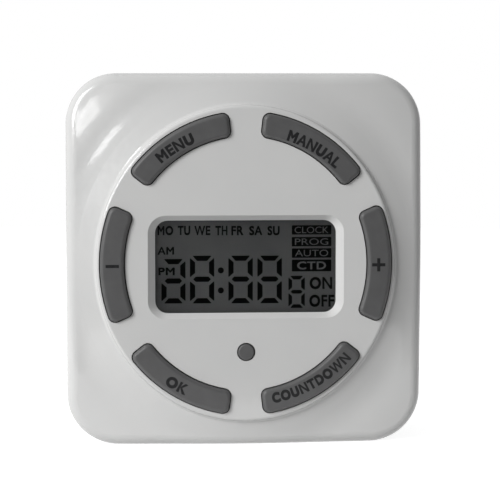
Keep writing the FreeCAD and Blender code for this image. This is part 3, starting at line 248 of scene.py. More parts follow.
def reckon(tree, operation, first, second):
    # Each of the two is a socket or a number
    step = tree.nodes.new("ShaderNodeMath")
    step.operation = operation
    for socket, value in zip(step.inputs, (first, second)):
        if isinstance(value, bpy.types.NodeSocket):
            tree.links.new(value, socket)
        else:
            socket.default_value = value
    return step.outputs[0]


def makeWorld():
    world = bpy.data.worlds.new("studio")
    bpy.context.scene.world = world
    world.use_nodes = True
    tree = world.node_tree
    tree.nodes.clear()
    path = tree.nodes.new("ShaderNodeLightPath")
    direction = tree.nodes.new("ShaderNodeTexCoord")
    split = tree.nodes.new("ShaderNodeSeparateXYZ")
    tree.links.new(direction.outputs["Generated"], split.inputs[0])
    toRight, toBack = split.outputs["X"], split.outputs["Y"]
    look = surroundings
    gloss = spreadOver(tree, toBack, look["reflectionFrom"], (look["frontReflection"], look["sideReflection"]))
    sides = spreadOver(tree, toRight, (-1, 1), (look["ambientLeft"], look["ambientRight"]))
    back = spreadOver(tree, toBack, look["backFrom"], (0, look["ambientBack"]))
    viewer = spreadOver(tree, toBack, look["viewerFrom"], (0, 1))
    strength = reckon(tree, "ADD", sides, back)
    throughGlass = reckon(tree, "MULTIPLY", reckon(tree, "MAXIMUM", sides, gloss), viewer)
    for ray, level in (("Is Glossy Ray", gloss), ("Is Transmission Ray", throughGlass), ("Is Camera Ray", 1)):
        choose = tree.nodes.new("ShaderNodeMix")
        tree.links.new(path.outputs[ray], choose.inputs["Factor"])
        tree.links.new(strength, choose.inputs[2])
        if isinstance(level, bpy.types.NodeSocket):
            tree.links.new(level, choose.inputs[3])
        else:
            choose.inputs[3].default_value = level
        strength = choose.outputs[0]
    room = tree.nodes.new("ShaderNodeBackground")
    room.inputs["Color"].default_value = (1, 1, 1, 1)
    tree.links.new(strength, room.inputs["Strength"])
    out = tree.nodes.new("ShaderNodeOutputWorld")
    tree.links.new(room.outputs[0], out.inputs["Surface"])


def makeFloor():
    deselectAll()
    place = (0, floorLook["back"], cadBox[0].z - floorLook["gap"])
    bpy.ops.mesh.primitive_circle_add(vertices=floorLook["corners"], radius=floorLook["radius"],
                                      fill_type="NGON", location=place)
    floor = bpy.context.object
    floor.name = "floor"
    bakePlace(floor)
    material = bpy.data.materials.new("paperFloor")
    material.use_nodes = True
    tree = material.node_tree
    tree.nodes.clear()
    matt = tree.nodes.new("ShaderNodeBsdfDiffuse")
    matt.inputs["Color"].default_value = (*[floorLook["colour"]] * 3, 1)
    path = tree.nodes.new("ShaderNodeLightPath")
    seen = reckon(tree, "MAXIMUM", path.outputs["Is Camera Ray"], path.outputs["Is Glossy Ray"])
    seen = reckon(tree, "MAXIMUM", seen, path.outputs["Is Transmission Ray"])
    lift = tree.nodes.new("ShaderNodeEmission")
    tree.links.new(reckon(tree, "MULTIPLY", seen, floorLook["lift"]), lift.inputs["Strength"])
    both = tree.nodes.new("ShaderNodeAddShader")
    tree.links.new(matt.outputs[0], both.inputs[0])
    tree.links.new(lift.outputs[0], both.inputs[1])
    out = tree.nodes.new("ShaderNodeOutputMaterial")
    tree.links.new(both.outputs[0], out.inputs["Surface"])
    floor.data.materials.append(material)


makeCamera()
makeLamps()
makeWorld()
makeFloor()
print("camera, lamps, world and floor are in place")


# Finishes

finishes = {
    # Colour and the one it drifts to, patch and grain in mm, roughness from and to, bump and its height in mm
    "caseWhite": {"colour": (0.735, 0.735, 0.728), "drift": (0.715, 0.717, 0.712), "patch": 9.0, "grain": 0.9,
                  "roughness": (0.16, 0.26), "bump": 0.05, "relief": 0.02, "coat": 0.5},
    "outletWhite": {"colour": (0.70, 0.70, 0.69), "drift": (0.67, 0.67, 0.66), "patch": 6.0, "grain": 0.35,
                    "roughness": (0.34, 0.46), "bump": 0.12, "relief": 0.02},
    "keyGrey": {"colour": (0.114, 0.114, 0.115), "drift": (0.101, 0.101, 0.102), "patch": 2.2, "grain": 0.14,
                "roughness": (0.38, 0.52), "bump": 0.22, "relief": 0.012},
    "keyInk": {"colour": (0.008, 0.008, 0.009), "drift": (0.016, 0.016, 0.017), "patch": 0.5, "grain": 0.08,
               "roughness": (0.5, 0.65), "bump": 0.2, "relief": 0.004, "specular": 0.3},
    "displayGrey": {"colour": (0.143, 0.143, 0.142), "drift": (0.108, 0.108, 0.109), "patch": 14.0,
                    "grain": 0.10, "roughness": (0.42, 0.55), "bump": 0.06, "relief": 0.004, "specular": 0.1},
    "displayInk": {"colour": (0.0012, 0.0012, 0.0013), "drift": (0.0025, 0.0025, 0.0026), "patch": 3.0,
                   "grain": 0.12, "roughness": (0.55, 0.7), "bump": 0.05, "relief": 0.003, "specular": 0.0},
    "displayLetter": {"colour": (0.165, 0.165, 0.165), "drift": (0.135, 0.135, 0.136), "patch": 2.0,
                      "grain": 0.1, "roughness": (0.5, 0.6), "bump": 0.05, "relief": 0.003, "specular": 0.05},
    "blackPlastic": {"colour": (0.020, 0.020, 0.021), "drift": (0.030, 0.030, 0.031), "patch": 3.0,
                     "grain": 0.15, "roughness": (0.45, 0.62), "bump": 0.25, "relief": 0.012},
    "siliconeRubber": {"colour": (0.60, 0.61, 0.60), "drift": (0.52, 0.53, 0.53), "patch": 5.0, "grain": 0.3,
                       "roughness": (0.55, 0.7), "bump": 0.15, "relief": 0.015, "subsurface": 0.15},
    "platedSteel": {"colour": (0.62, 0.62, 0.61), "drift": (0.50, 0.50, 0.50), "patch": 1.6, "grain": 0.12,
                    "roughness": (0.22, 0.42), "bump": 0.18, "relief": 0.006, "metallic": 1.0},
    "bladeBrass": {"colour": (0.74, 0.60, 0.32), "drift": (0.62, 0.47, 0.24), "patch": 3.2, "grain": 0.10,
                   "roughness": (0.18, 0.36), "bump": 0.14, "relief": 0.006, "metallic": 1.0,
                   "stretch": (1.0, 0.12, 1.0)},
    "relayBlue": {"colour": (0.05, 0.13, 0.42), "drift": (0.04, 0.10, 0.34), "patch": 5.0, "grain": 0.4,
                  "roughness": (0.2, 0.3), "bump": 0.08, "relief": 0.01},
    "capacitorYellow": {"colour": (0.72, 0.50, 0.06), "drift": (0.62, 0.42, 0.05), "patch": 4.0, "grain": 0.3,
                        "roughness": (0.25, 0.4), "bump": 0.1, "relief": 0.01},
    "varistorBlue": {"colour": (0.05, 0.16, 0.46), "drift": (0.04, 0.12, 0.36), "patch": 1.8, "grain": 0.5,
                     "roughness": (0.2, 0.35), "bump": 0.35, "relief": 0.03},
}
pane = {"colour": (0.96, 0.97, 0.97), "drift": (0.93, 0.94, 0.94), "patch": 2.5, "roughness": (0.0, 0.006),
        "ior": 1.49}
stripes = {
    # Fine bands across one axis: the layers of a contact strip, the turns of a coil; sizes in mm
    "contactRubber": {"axis": "X", "pitch": 0.1, "colours": ((0.55, 0.30, 0.30), (0.02, 0.02, 0.02)),
                      "grain": 0.3, "roughness": (0.55, 0.7), "bump": 0.1, "relief": 0.01, "metallic": 0},
    "coilCopper": {"axis": "Y", "pitch": 0.12, "colours": ((0.42, 0.13, 0.05), (0.20, 0.05, 0.02)),
                   "grain": 0.3, "roughness": (0.18, 0.28), "bump": 0.8, "relief": 0.05, "metallic": 0.6},
}
board = {
    # Solder mask over copper tracks, with pads and plated holes; sizes in mm
    "mask": (0.016, 0.105, 0.045), "maskDrift": (0.022, 0.130, 0.058), "overCopper": (0.040, 0.190, 0.075),
    "pad": (0.66, 0.63, 0.55), "track": 9, "trackGap": 0.045, "trackSoft": 0.1, "trackOffset": 0.37,
    "trackSquash": 0.6, "padPitch": 3.1, "padEdge": (0.16, 0.20), "weave": 0.6, "roughness": (0.28, 0.40),
    "bump": 0.3, "relief": 0.03,
}
paintBands = {
    # Bands along X from a start over a length in mm; each has its share of the length where it begins
    "resistorBands": {"start": -27.5, "length": 9.0, "base": (0.36, 0.38, 0.38), "roughness": (0.4, 0.55),
                      "bands": [(0.20, (0.25, 0.02, 0.02)), (0.28, None), (0.38, (0.01, 0.01, 0.01)),
                                (0.46, None), (0.56, (0.20, 0.06, 0.01)), (0.64, None),
                                (0.78, (0.55, 0.38, 0.06)), (0.86, None)]},
    "capacitorSleeve": {"start": -1.7, "length": 9.0, "base": (0.012, 0.012, 0.014), "roughness": (0.25, 0.4),
                        "bands": [(0.80, (0.62, 0.62, 0.60))]},
}
paintCloud = {"size": 1.2, "share": 0.25, "colour": (0.3, 0.3, 0.3), "bump": 0.15, "relief": 0.02}
waveDistortion = 0.3
noiseEnds = (0.3, 0.7)  # most of a noise lies between these
noiseDetail = {"patch": 3.0, "grain": 2.0}
coatRoughness = 0.06
skinDepth = 0.001


def startMaterial(name):
    material = bpy.data.materials.new(name)
    material.use_nodes = True
    tree = material.node_tree
    shader = tree.nodes["Principled BSDF"]
    place = tree.nodes.new("ShaderNodeTexCoord")
    mapping = tree.nodes.new("ShaderNodeMapping")
    tree.links.new(place.outputs["Object"], mapping.inputs["Vector"])
    return material, tree, shader, mapping


def addNoise(tree, mapping, sizeInMm, detail=noiseDetail["patch"]):
    noise = tree.nodes.new("ShaderNodeTexNoise")
    noise.inputs["Scale"].default_value = 1 / (sizeInMm * mm)
    noise.inputs["Detail"].default_value = detail
    tree.links.new(mapping.outputs["Vector"], noise.inputs["Vector"])
    return noise.outputs["Fac"]


def addMix(tree, factor, colourA, colourB):
    mix = tree.nodes.new("ShaderNodeMix")
    mix.data_type = "RGBA"
    tree.links.new(factor, mix.inputs["Factor"])
    for socket, colour in ((mix.inputs[6], colourA), (mix.inputs[7], colourB)):
        if isinstance(colour, bpy.types.NodeSocket):
            tree.links.new(colour, socket)
        else:
            socket.default_value = (*colour, 1)
    return mix.outputs[2]


def addBump(tree, shader, height, strength, reliefInMm):
    bump = tree.nodes.new("ShaderNodeBump")
    bump.inputs["Strength"].default_value = strength
    bump.inputs["Distance"].default_value = reliefInMm * mm
    tree.links.new(height, bump.inputs["Height"])
    tree.links.new(bump.outputs["Normal"], shader.inputs["Normal"])


def makeFinish(name):
    look = finishes[name]
    material, tree, shader, mapping = startMaterial(name)
    mapping.inputs["Scale"].default_value = look.get("stretch", (1, 1, 1))
    patches = addNoise(tree, mapping, look["patch"])
    grain = addNoise(tree, mapping, look["grain"], noiseDetail["grain"])
    colour = addMix(tree, spreadOver(tree, patches, noiseEnds, (0, 1)), look["colour"], look["drift"])
    tree.links.new(colour, shader.inputs["Base Color"])
    tree.links.new(spreadOver(tree, grain, noiseEnds, look["roughness"]), shader.inputs["Roughness"])
    addBump(tree, shader, grain, look["bump"], look["relief"])
    shader.inputs["Metallic"].default_value = look.get("metallic", 0)
    shader.inputs["Coat Weight"].default_value = look.get("coat", 0)
    shader.inputs["Coat Roughness"].default_value = coatRoughness
    shader.inputs["Specular IOR Level"].default_value = look.get("specular", 0.5)
    shader.inputs["Subsurface Weight"].default_value = look.get("subsurface", 0)
    shader.inputs["Subsurface Scale"].default_value = skinDepth
    return material


def makePane():
    material, tree, shader, mapping = startMaterial("clearPane")
    wear = addNoise(tree, mapping, pane["patch"])
    clear = addMix(tree, spreadOver(tree, wear, noiseEnds, (0, 1)), pane["colour"], pane["drift"])
    tree.links.new(clear, shader.inputs["Base Color"])
    tree.links.new(spreadOver(tree, wear, noiseEnds, pane["roughness"]), shader.inputs["Roughness"])
    shader.inputs["Transmission Weight"].default_value = 1
    shader.inputs["IOR"].default_value = pane["ior"]
    return material


def makeStripes(name):
    look = stripes[name]
    material, tree, shader, mapping = startMaterial(name)
    wave = tree.nodes.new("ShaderNodeTexWave")
    wave.bands_direction = look["axis"]
    wave.wave_profile = "SIN"
    wave.inputs["Scale"].default_value = math.pi / (10 * look["pitch"] * mm)
    wave.inputs["Distortion"].default_value = waveDistortion
    tree.links.new(mapping.outputs["Vector"], wave.inputs["Vector"])
    tree.links.new(addMix(tree, wave.outputs["Fac"], *look["colours"]), shader.inputs["Base Color"])
    grain = addNoise(tree, mapping, look["grain"])
    tree.links.new(spreadOver(tree, grain, noiseEnds, look["roughness"]), shader.inputs["Roughness"])
    addBump(tree, shader, wave.outputs["Fac"], look["bump"], look["relief"])
    shader.inputs["Metallic"].default_value = look["metallic"]
    return material


def makeBoard():
    material, tree, shader, mapping = startMaterial("boardGreen")
    tracks = tree.nodes.new("ShaderNodeTexBrick")
    tracks.inputs["Scale"].default_value = 1 / (board["track"] * mm)
    tracks.inputs["Mortar Size"].default_value = board["trackGap"]
    tracks.inputs["Mortar Smooth"].default_value = board["trackSoft"]
    tracks.offset, tracks.squash = board["trackOffset"], board["trackSquash"]
    turn = tree.nodes.new("ShaderNodeMapping")  # brick reads X and Y, and the board lies in X and Z
    turn.inputs["Rotation"].default_value = (math.radians(90), 0, 0)
    tree.links.new(mapping.outputs["Vector"], turn.inputs["Vector"])
    tree.links.new(turn.outputs["Vector"], tracks.inputs["Vector"])
    pads = tree.nodes.new("ShaderNodeTexVoronoi")
    pads.inputs["Scale"].default_value = 1 / (board["padPitch"] * mm)
    tree.links.new(mapping.outputs["Vector"], pads.inputs["Vector"])
    padFace = spreadOver(tree, pads.outputs["Distance"], board["padEdge"], (1, 0))
    weave = addNoise(tree, mapping, board["weave"])
    mask = addMix(tree, spreadOver(tree, weave, noiseEnds, (0, 1)), board["mask"], board["maskDrift"])
    overCopper = addMix(tree, tracks.outputs["Fac"], mask, board["overCopper"])
    tree.links.new(addMix(tree, padFace, overCopper, board["pad"]), shader.inputs["Base Color"])
    tree.links.new(spreadOver(tree, weave, noiseEnds, board["roughness"]), shader.inputs["Roughness"])
    tree.links.new(padFace, shader.inputs["Metallic"])
    addBump(tree, shader, tracks.outputs["Fac"], board["bump"], board["relief"])
    return material


def makeBands(name):
    look = paintBands[name]
    material, tree, shader, mapping = startMaterial(name)
    split = tree.nodes.new("ShaderNodeSeparateXYZ")
    tree.links.new(mapping.outputs["Vector"], split.inputs[0])
    ramp = tree.nodes.new("ShaderNodeValToRGB")
    ramp.color_ramp.interpolation = "CONSTANT"
    ends = (look["start"] * mm, (look["start"] + look["length"]) * mm)
    tree.links.new(spreadOver(tree, split.outputs["X"], ends, (0, 1)), ramp.inputs["Fac"])
    firstPlace, firstColour = look["bands"][0]
    ramp.color_ramp.elements[0].color = (*look["base"], 1)
    ramp.color_ramp.elements[1].position = firstPlace
    ramp.color_ramp.elements[1].color = (*firstColour, 1)
    for position, colour in look["bands"][1:]:
        ramp.color_ramp.elements.new(position).color = (*(colour or look["base"]), 1)
    cloud = addNoise(tree, mapping, paintCloud["size"])
    share = spreadOver(tree, cloud, noiseEnds, (0, paintCloud["share"]))
    painted = addMix(tree, share, ramp.outputs["Color"], paintCloud["colour"])
    tree.links.new(painted, shader.inputs["Base Color"])
    tree.links.new(spreadOver(tree, cloud, noiseEnds, look["roughness"]), shader.inputs["Roughness"])
    addBump(tree, shader, cloud, paintCloud["bump"], paintCloud["relief"])
    return material


materials = {name: makeFinish(name) for name in finishes}
materials["clearPane"] = makePane()
for name in stripes:
    materials[name] = makeStripes(name)
materials["boardGreen"] = makeBoard()
for name in paintBands:
    materials[name] = makeBands(name)
print(len(materials), "finishes are made")

finishOfSlot = {
    "case_white": "caseWhite",
    "outlet_white": "outletWhite",
    "key_grey": "keyGrey",
    "clear_pane": "clearPane",
    "display_glass": "displayGrey",
    "black_plastic": "blackPlastic",
    "soft_rubber": "siliconeRubber",
    "contact_rubber": "contactRubber",
    "board_green": "boardGreen",
    "plated_steel": "platedSteel",
    "blade_brass": "bladeBrass",
    "coil_copper": "coilCopper",
    "relay_blue": "relayBlue",
    "capacitor_yellow": "capacitorYellow",
    "capacitor_black": "capacitorSleeve",
    "varistor_blue": "varistorBlue",
    "resistor_grey": "resistorBands",
}
for part in frame["record"]["subparts"]:
    thing = nodes[part["node"]]
    finish = materials[finishOfSlot[part["material_slot"]]]
    for place in thing.material_slots:
        place.material = finish
print("every solid has its finish")


# Words

letterStyle = {
    "thick": 0.05,  # of letters one unit high, before they are fitted
    "spread": 1.8,  # how far bold letters move apart
    "merge": 0.0005,
    "curve": 4,
}


def makeWords(words, size, bold):
    # Letters in X and Y round their middle, fitted to a width and a height in mm
    deselectAll()
    bpy.ops.object.text_add(location=(0, 0, 0))
    text = bpy.context.object
    text.data.body = words
    text.data.extrude = letterStyle["thick"]
    text.data.space_character = 1 + letterStyle["spread"] * bold
    text.data.resolution_u = letterStyle["curve"]
    bpy.ops.object.convert(target="MESH")
    letters = bpy.context.object
    startEdit(letters)
    bpy.ops.mesh.remove_doubles(threshold=letterStyle["merge"])
    bpy.ops.mesh.normals_make_consistent(inside=False)
    endEdit()
    if bold:
        applyModifier(letters, "DISPLACE", strength=bold, mid_level=0)
    points = [vertex.co for vertex in letters.data.vertices]
    low = Vector([min(point[axis] for point in points) for axis in range(3)])
    high = Vector([max(point[axis] for point in points) for axis in range(3)])
    wanted = (size[0], size[1], inkDepth)
    fit = [wanted[axis] * mm / (high[axis] - low[axis]) for axis in range(3)]
    middle = (low + high) / 2
    letters.scale = fit
    letters.location = (-middle.x * fit[0], -middle.y * fit[1], 0)
    bakePlace(letters)
    return letters


# Key legends

legends = {
    # Words, the angle and the distance of their middle on the dial, and their size in mm
    "menuLegend": {"key": "menu_key", "words": "MENU", "angle": 121.3, "reach": 25.2, "size": (7.6, 2.15)},
    "manualLegend": {"key": "manual_key", "words": "MANUAL", "angle": 59.6, "reach": 24.9,
                     "size": (10.9, 2.15)},
    "okLegend": {"key": "ok_key", "words": "OK", "angle": 240.0, "reach": 25.7, "size": (4.3, 2.15)},
    "countdownLegend": {"key": "countdown_key", "words": "COUNTDOWN", "angle": 299.3, "reach": 25.3,
                        "size": (16.4, 2.05)},
}
legendStyle = {"bold": 0.105, "bendRadius": 25.0}
signs = {
    "plusLegend": {"key": "plus_key", "x": 24.45, "crossed": True},
    "minusLegend": {"key": "minus_key", "x": -24.6, "crossed": False},
}
signStyle = {"thick": 0.58, "long": 2.45, "height": -0.72}
dialMiddle = -0.5  # the height of the dial's middle, in mm


def bendWords(letters, radius, outward):
    # Outward: the middle of the circle lies below the letters
    width = max(vertex.co.x for vertex in letters.data.vertices) * 2
    side = 1 if outward else -1
    applyModifier(letters, "SIMPLE_DEFORM", deform_method="BEND", deform_axis="Z",
                  angle=-side * width / (radius * mm))


def makeLegend(name, look):
    above = look["angle"] < 180
    letters = makeWords(look["words"], look["size"], legendStyle["bold"])
    bendWords(letters, legendStyle["bendRadius"], above)
    angle = math.radians(look["angle"])
    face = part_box(look["key"])[0].y / mm
    place = (look["reach"] * math.cos(angle), face, dialMiddle + look["reach"] * math.sin(angle))
    standAgainstFace(letters, place, look["angle"] - 90 if above else look["angle"] - 270)
    finishPiece(letters, name, look["key"], materials["keyInk"])


def makeSign(name, look):
    # A bar, or two crossed bars: a 3 by 3 grid whose corners go
    deselectAll()
    bpy.ops.mesh.primitive_grid_add(x_subdivisions=3, y_subdivisions=3, size=1)
    sign = bpy.context.object
    thick, long = signStyle["thick"] * mm, signStyle["long"] * mm
    endsFrom = 0.4  # of a grid one unit wide, whose inner lines lie at 0.17
    for vertex in sign.data.vertices:
        for axis in (0, 1):
            reach = (long if abs(vertex.co[axis]) > endsFrom else thick) / 2
            vertex.co[axis] = math.copysign(reach, vertex.co[axis])
    startEdit(sign)
    bpy.ops.mesh.select_mode(type="FACE")
    bpy.ops.mesh.select_all(action="DESELECT")
    endEdit()
    for face in sign.data.polygons:
        offX, offY = abs(face.center.x) > thick, abs(face.center.y) > thick
        face.select = offY and (offX or not look["crossed"])
    bpy.ops.object.mode_set(mode="EDIT")
    bpy.ops.mesh.delete(type="FACE")
    bpy.ops.mesh.select_mode(type="VERT")
    endEdit()
    thicken(sign)
    standAgainstFace(sign, (look["x"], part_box(look["key"])[0].y / mm, signStyle["height"]))
    finishPiece(sign, name, look["key"], materials["keyInk"])


for name, look in legends.items():
    makeLegend(name, look)
for name, look in signs.items():
    makeSign(name, look)
print("key legends are on")


# Display

filmHeight = {"drawn": 0.001, "words": 0.012, "boxWords": 0.030}  # over the glass, in mm
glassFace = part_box("display_front_glass")[0].y / mm  # the front of the display glass, in mm
digits = [
    # Left and right, top, middle and bottom in mm, the bars' thickness, whether the upper left bar is there
    {"x": (-15.53, -11.10), "z": (0.34, -3.72, -7.88), "thick": 0.95, "upperLeft": False},
    {"x": (-10.26, -5.78), "z": (0.92, -3.43, -7.90), "thick": 0.95, "upperLeft": True},
    {"x": (-3.15, 1.36), "z": (0.90, -3.45, -7.94), "thick": 0.95, "upperLeft": True},
    {"x": (2.23, 6.76), "z": (0.87, -3.47, -7.96), "thick": 0.95, "upperLeft": True},
    {"x": (8.00, 11.03), "z": (-2.92, -5.88, -8.88), "thick": 0.66, "upperLeft": True},
]
colonDots = {"x": -4.55, "z": (-1.81, -5.53), "radius": 0.55, "corners": 28}
displayWords = [
    # Words, their middle and their size, in mm
    ("MO", (-14.76, 5.61), (2.87, 1.75)),
    ("TU", (-11.34, 5.60), (2.30, 1.75)),
    ("WE", (-7.96, 5.58), (2.95, 1.75)),
    ("TH", (-4.44, 5.56), (2.22, 1.75)),
    ("FR", (-1.48, 5.54), (2.22, 1.75)),
    ("SA", (1.92, 5.52), (2.45, 1.75)),
    ("SU", (5.22, 5.50), (2.27, 1.75)),
    ("AM", (-14.71, 1.87), (3.05, 1.42)),
    ("PM", (-14.57, -1.93), (3.00, 1.42)),
    ("ON", (14.03, -4.29), (4.20, 2.30)),
    ("OFF", (14.20, -7.59), (4.65, 2.30)),
]
displayWordBold = 0.060
displayBoxes = [
    # Words, the middle and the size of their box, their own size in mm, and how bold they are
    ("CLOCK", (12.28, 5.60), (7.32, 1.71), (6.3, 1.20), 0.0),
    ("PROG", (12.28, 3.42), (7.32, 1.71), (6.2, 1.20), 0.0),
    ("AUTO", (12.29, 1.31), (7.32, 1.74), (6.2, 1.22), 0.0),
    ("CTD", (12.29, -1.00), (7.32, 2.17), (5.4, 1.50), 0.04),
]
boxCorner = 0.12  # in mm
barShape = {
    # In thicknesses of the bar, apart from the shift, which is in mm
    "point": 0.46, "slant": 1.75, "round": 0.20, "gap": 0.13 / 0.95, "middleShort": 0.35, "shift": 0.02,
}


def makeSheet(long, wide):
    deselectAll()
    bpy.ops.mesh.primitive_plane_add(size=1)
    sheet = bpy.context.object
    sheet.scale = (long * mm, wide * mm, 1)
    bpy.ops.object.transform_apply(location=False, rotation=False, scale=True)
    return sheet


def makeBar(middle, long, thick, turn, pointed):
    # A flat bar with slanted ends; its long side faces outwards, and a pointed one is slanted both ways
    bar = makeSheet(long, thick)
    startEdit(bar, "SELECT" if pointed else "DESELECT")
    if pointed:
        bpy.ops.mesh.bevel(offset=thick * mm * barShape["point"], segments=1, affect="VERTICES")
    else:
        endEdit()
        for vertex in bar.data.vertices:
            vertex.select = vertex.co.y < 0
        bpy.ops.object.mode_set(mode="EDIT")
        bpy.ops.transform.resize(value=((long - barShape["slant"] * thick) / long, 1, 1))
        bpy.ops.mesh.select_all(action="INVERT")
        bpy.ops.mesh.bevel(offset=thick * mm * barShape["round"], segments=2, affect="VERTICES")
    endEdit()
    bar.rotation_euler = (0, 0, math.radians(turn))
    return moveTo(bar, middle)


def makeDigit(look):
    left, right = look["x"]
    top, middle, bottom = look["z"]
    thick, half = look["thick"], look["thick"] / 2
    gap, shift = barShape["gap"] * thick, barShape["shift"]
    across = (left + right) / 2
    wide = right - left - thick
    bars = [
        makeBar((across, top - half), wide, thick, 0, False),
        makeBar((across, bottom + half), wide, thick, 180, False),
        makeBar((across, middle), wide - barShape["middleShort"] * thick, thick, 0, True),
    ]
    upper, lower = top - middle, middle - bottom
    for side, x, turn in (("left", left + half, 90), ("right", right - half, -90)):
        if side == "right" or look["upperLeft"]:
            bars.append(makeBar((x, middle + upper / 2 - shift), upper - half - 2 * gap, thick, turn, False))
        bars.append(makeBar((x, middle - lower / 2 + shift), lower - half - 2 * gap, thick, turn, False))
    return bars


def makeDot(place):
    deselectAll()
    bpy.ops.mesh.primitive_circle_add(vertices=colonDots["corners"], radius=colonDots["radius"] * mm,
                                      fill_type="NGON", location=(place[0] * mm, place[1] * mm, 0))
    dot = bpy.context.object
    bakePlace(dot)
    return dot


def makeBox(place, size):
    box = makeSheet(*size)
    startEdit(box)
    bpy.ops.mesh.bevel(offset=boxCorner * mm, segments=3, affect="VERTICES")
    endEdit()
    return moveTo(box, place)


def layFilm(name, things, height, ink, flat):
    film = joinPieces(things)
    if flat:
        thicken(film)
    standAgainstFace(film, (0, glassFace, 0), 0, -filmHeight[height])
    finishPiece(film, name, "case", materials[ink])


def makeDisplay():
    bars = [bar for look in digits for bar in makeDigit(look)]
    bars += [makeDot((colonDots["x"], z)) for z in colonDots["z"]]
    layFilm("displayDigits", bars, "drawn", "displayInk", True)
    words = [moveTo(makeWords(letters, size, displayWordBold), place) for letters, place, size in displayWords]
    layFilm("displayWords", words, "words", "displayInk", False)
    boxes = [makeBox(place, size) for _, place, size, _, _ in displayBoxes]
    layFilm("displayBoxes", boxes, "drawn", "displayInk", True)
    words = [moveTo(makeWords(letters, size, bold), place) for letters, place, _, size, bold in displayBoxes]
    layFilm("displayBoxWords", words, "boxWords", "displayLetter", False)


makeDisplay()
print("display is drawn")


# Rubber key mat, its domes and the display's contact strips

keyMat = {
    # In mm
    "ring": (24.66, 25.77),  # the half width and half height of the oval through the middles of the keys
    "domeTall": 1.65,
    "pressed": 0.8,
    "play": 0.012,  # between a dome and its key
    "pillarHole": 1.9,
    "openingGap": 0.35,
    "cutDepth": 20,
    "edge": 0.18,
    "edgeFrom": 50,  # edges sharper than this are rounded, in degrees
    "smoothBelow": 40,
    "corners": 120,
    "holeCorners": 32,
}
domeShape = {
    # Radii and widths in mm
    "foot": 2.4,
    "top": 1.6,
    "wall": 0.45,
    "hollow": 0.55,  # its depth, as a share of the dome's height
    "padGap": 0.5,
    "pad": 0.2,  # how far the contact pad stands in the hollow, as a share of the height
    "edge": 0.12,
    "edgeFrom": 25,
    "smoothBelow": 35,
    "corners": 40,
}
contactStrip = {"edge": 0.15, "smoothBelow": 40}
keyAngles = {"plus": 0, "manual": 60, "menu": 120, "minus": 180, "ok": 240, "countdown": 300}
upright = (math.radians(90), 0, 0)  # turns a round piece so that its axis lies along Y


def cutWith(thing, tool):
    applyModifier(thing, "BOOLEAN", operation="DIFFERENCE", solver="EXACT", object=tool)
    bpy.data.objects.remove(tool)


def makeRound(corners, radius, low, high, place):
    bpy.ops.mesh.primitive_cylinder_add(vertices=corners, radius=radius, depth=high - low, rotation=upright,
                                        location=(place.x, (low + high) / 2, place.z))
    return bpy.context.object


def makeMat():
    low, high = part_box("key_mat")
    foot = low.y + keyMat["domeTall"] * mm
    half = (high - low) / 2
    deselectAll()
    mat = makeRound(keyMat["corners"], 1, foot, high.y, (low + high) / 2)
    mat.scale = (half.x, half.z, 1)
    bakePlace(mat)
    holderLow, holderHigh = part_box("display_holder")
    gap, cutDepth = keyMat["openingGap"] * mm, keyMat["cutDepth"] * mm
    bpy.ops.mesh.primitive_cube_add(size=1, location=(0, high.y, (holderLow.z + holderHigh.z) / 2))
    tool = bpy.context.object
    tool.scale = (holderHigh.x - holderLow.x + 2 * gap, cutDepth, holderHigh.z - holderLow.z + 2 * gap)
    bakePlace(tool)
    cutWith(mat, tool)
    for number in range(1, 5):
        screwLow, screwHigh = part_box(f"control_screw_{number}")
        tool = makeRound(keyMat["holeCorners"], keyMat["pillarHole"] * mm, high.y - cutDepth / 2,
                         high.y + cutDepth / 2, (screwLow + screwHigh) / 2)
        bakePlace(tool)
        cutWith(mat, tool)
    applyModifier(mat, "BEVEL", width=keyMat["edge"] * mm, segments=2, limit_method="ANGLE",
                  angle_limit=math.radians(keyMat["edgeFrom"]))
    smoothBelow(mat, keyMat["smoothBelow"])
    finishPiece(mat, "keyMat", "case", materials["siliconeRubber"])
    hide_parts("key_mat")
    return foot, low.y


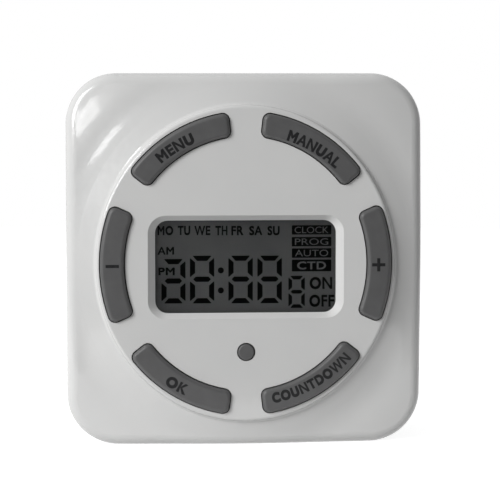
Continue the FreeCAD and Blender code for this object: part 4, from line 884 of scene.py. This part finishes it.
def makeDome(name, x, z, foot, keyBack):
    # A soft cone with a thin wall, a rounded rim and a contact pad inside
    top = keyBack + keyMat["play"] * mm
    tall = foot - top
    deselectAll()
    bpy.ops.mesh.primitive_cone_add(vertices=domeShape["corners"], radius1=domeShape["foot"] * mm,
                                    radius2=domeShape["top"] * mm, depth=tall, location=(0, 0, 0))
    dome = bpy.context.object
    startEdit(dome, "DESELECT")
    endEdit()
    for face in dome.data.polygons:
        face.select = face.normal.z < -0.9  # the face at its foot
    bpy.ops.object.mode_set(mode="EDIT")
    for step, rise in (("wall", domeShape["hollow"]), ("padGap", -domeShape["pad"])):
        bpy.ops.mesh.inset(thickness=domeShape[step] * mm)
        bpy.ops.mesh.extrude_region_move(TRANSFORM_OT_translate={"value": (0, 0, tall * rise)})
    endEdit()
    applyModifier(dome, "BEVEL", width=domeShape["edge"] * mm, segments=2, limit_method="ANGLE",
                  angle_limit=math.radians(domeShape["edgeFrom"]))
    smoothBelow(dome, domeShape["smoothBelow"])
    dome.rotation_euler = upright
    dome.location = (x, (foot + top) / 2, z)
    bakePlace(dome)
    finishPiece(dome, name, "case", materials["siliconeRubber"])
    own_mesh(dome)


def makeStrip(node, name):
    low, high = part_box(node)
    deselectAll()
    bpy.ops.mesh.primitive_cube_add(size=1, location=(low + high) / 2)
    strip = bpy.context.object
    strip.scale = high - low
    bakePlace(strip)
    startEdit(strip)
    bpy.ops.mesh.bevel(offset=contactStrip["edge"] * mm, segments=3, affect="EDGES")
    endEdit()
    smoothBelow(strip, contactStrip["smoothBelow"])
    finishPiece(strip, name, "case", materials["contactRubber"])
    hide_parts(node)


matFoot, matTop = makeMat()
ringWide, ringTall = keyMat["ring"]
for key, degrees in keyAngles.items():
    angle = math.radians(degrees)
    makeDome(f"{key}Dome", ringWide * math.cos(angle) * mm,
             (dialMiddle + ringTall * math.sin(angle)) * mm, matFoot, matTop)
resetLow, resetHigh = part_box("reset_button")
makeDome("resetDome", 0, (resetLow.z + resetHigh.z) / 2, matFoot, matTop)
makeStrip("upper_contact_strip", "upperContactStrip")
makeStrip("lower_contact_strip", "lowerContactStrip")
print("key mat and contact strips are made")


# Size of what shows

print("CAD box", [[round(value / mm, 2) for value in corner] for corner in cadBox])
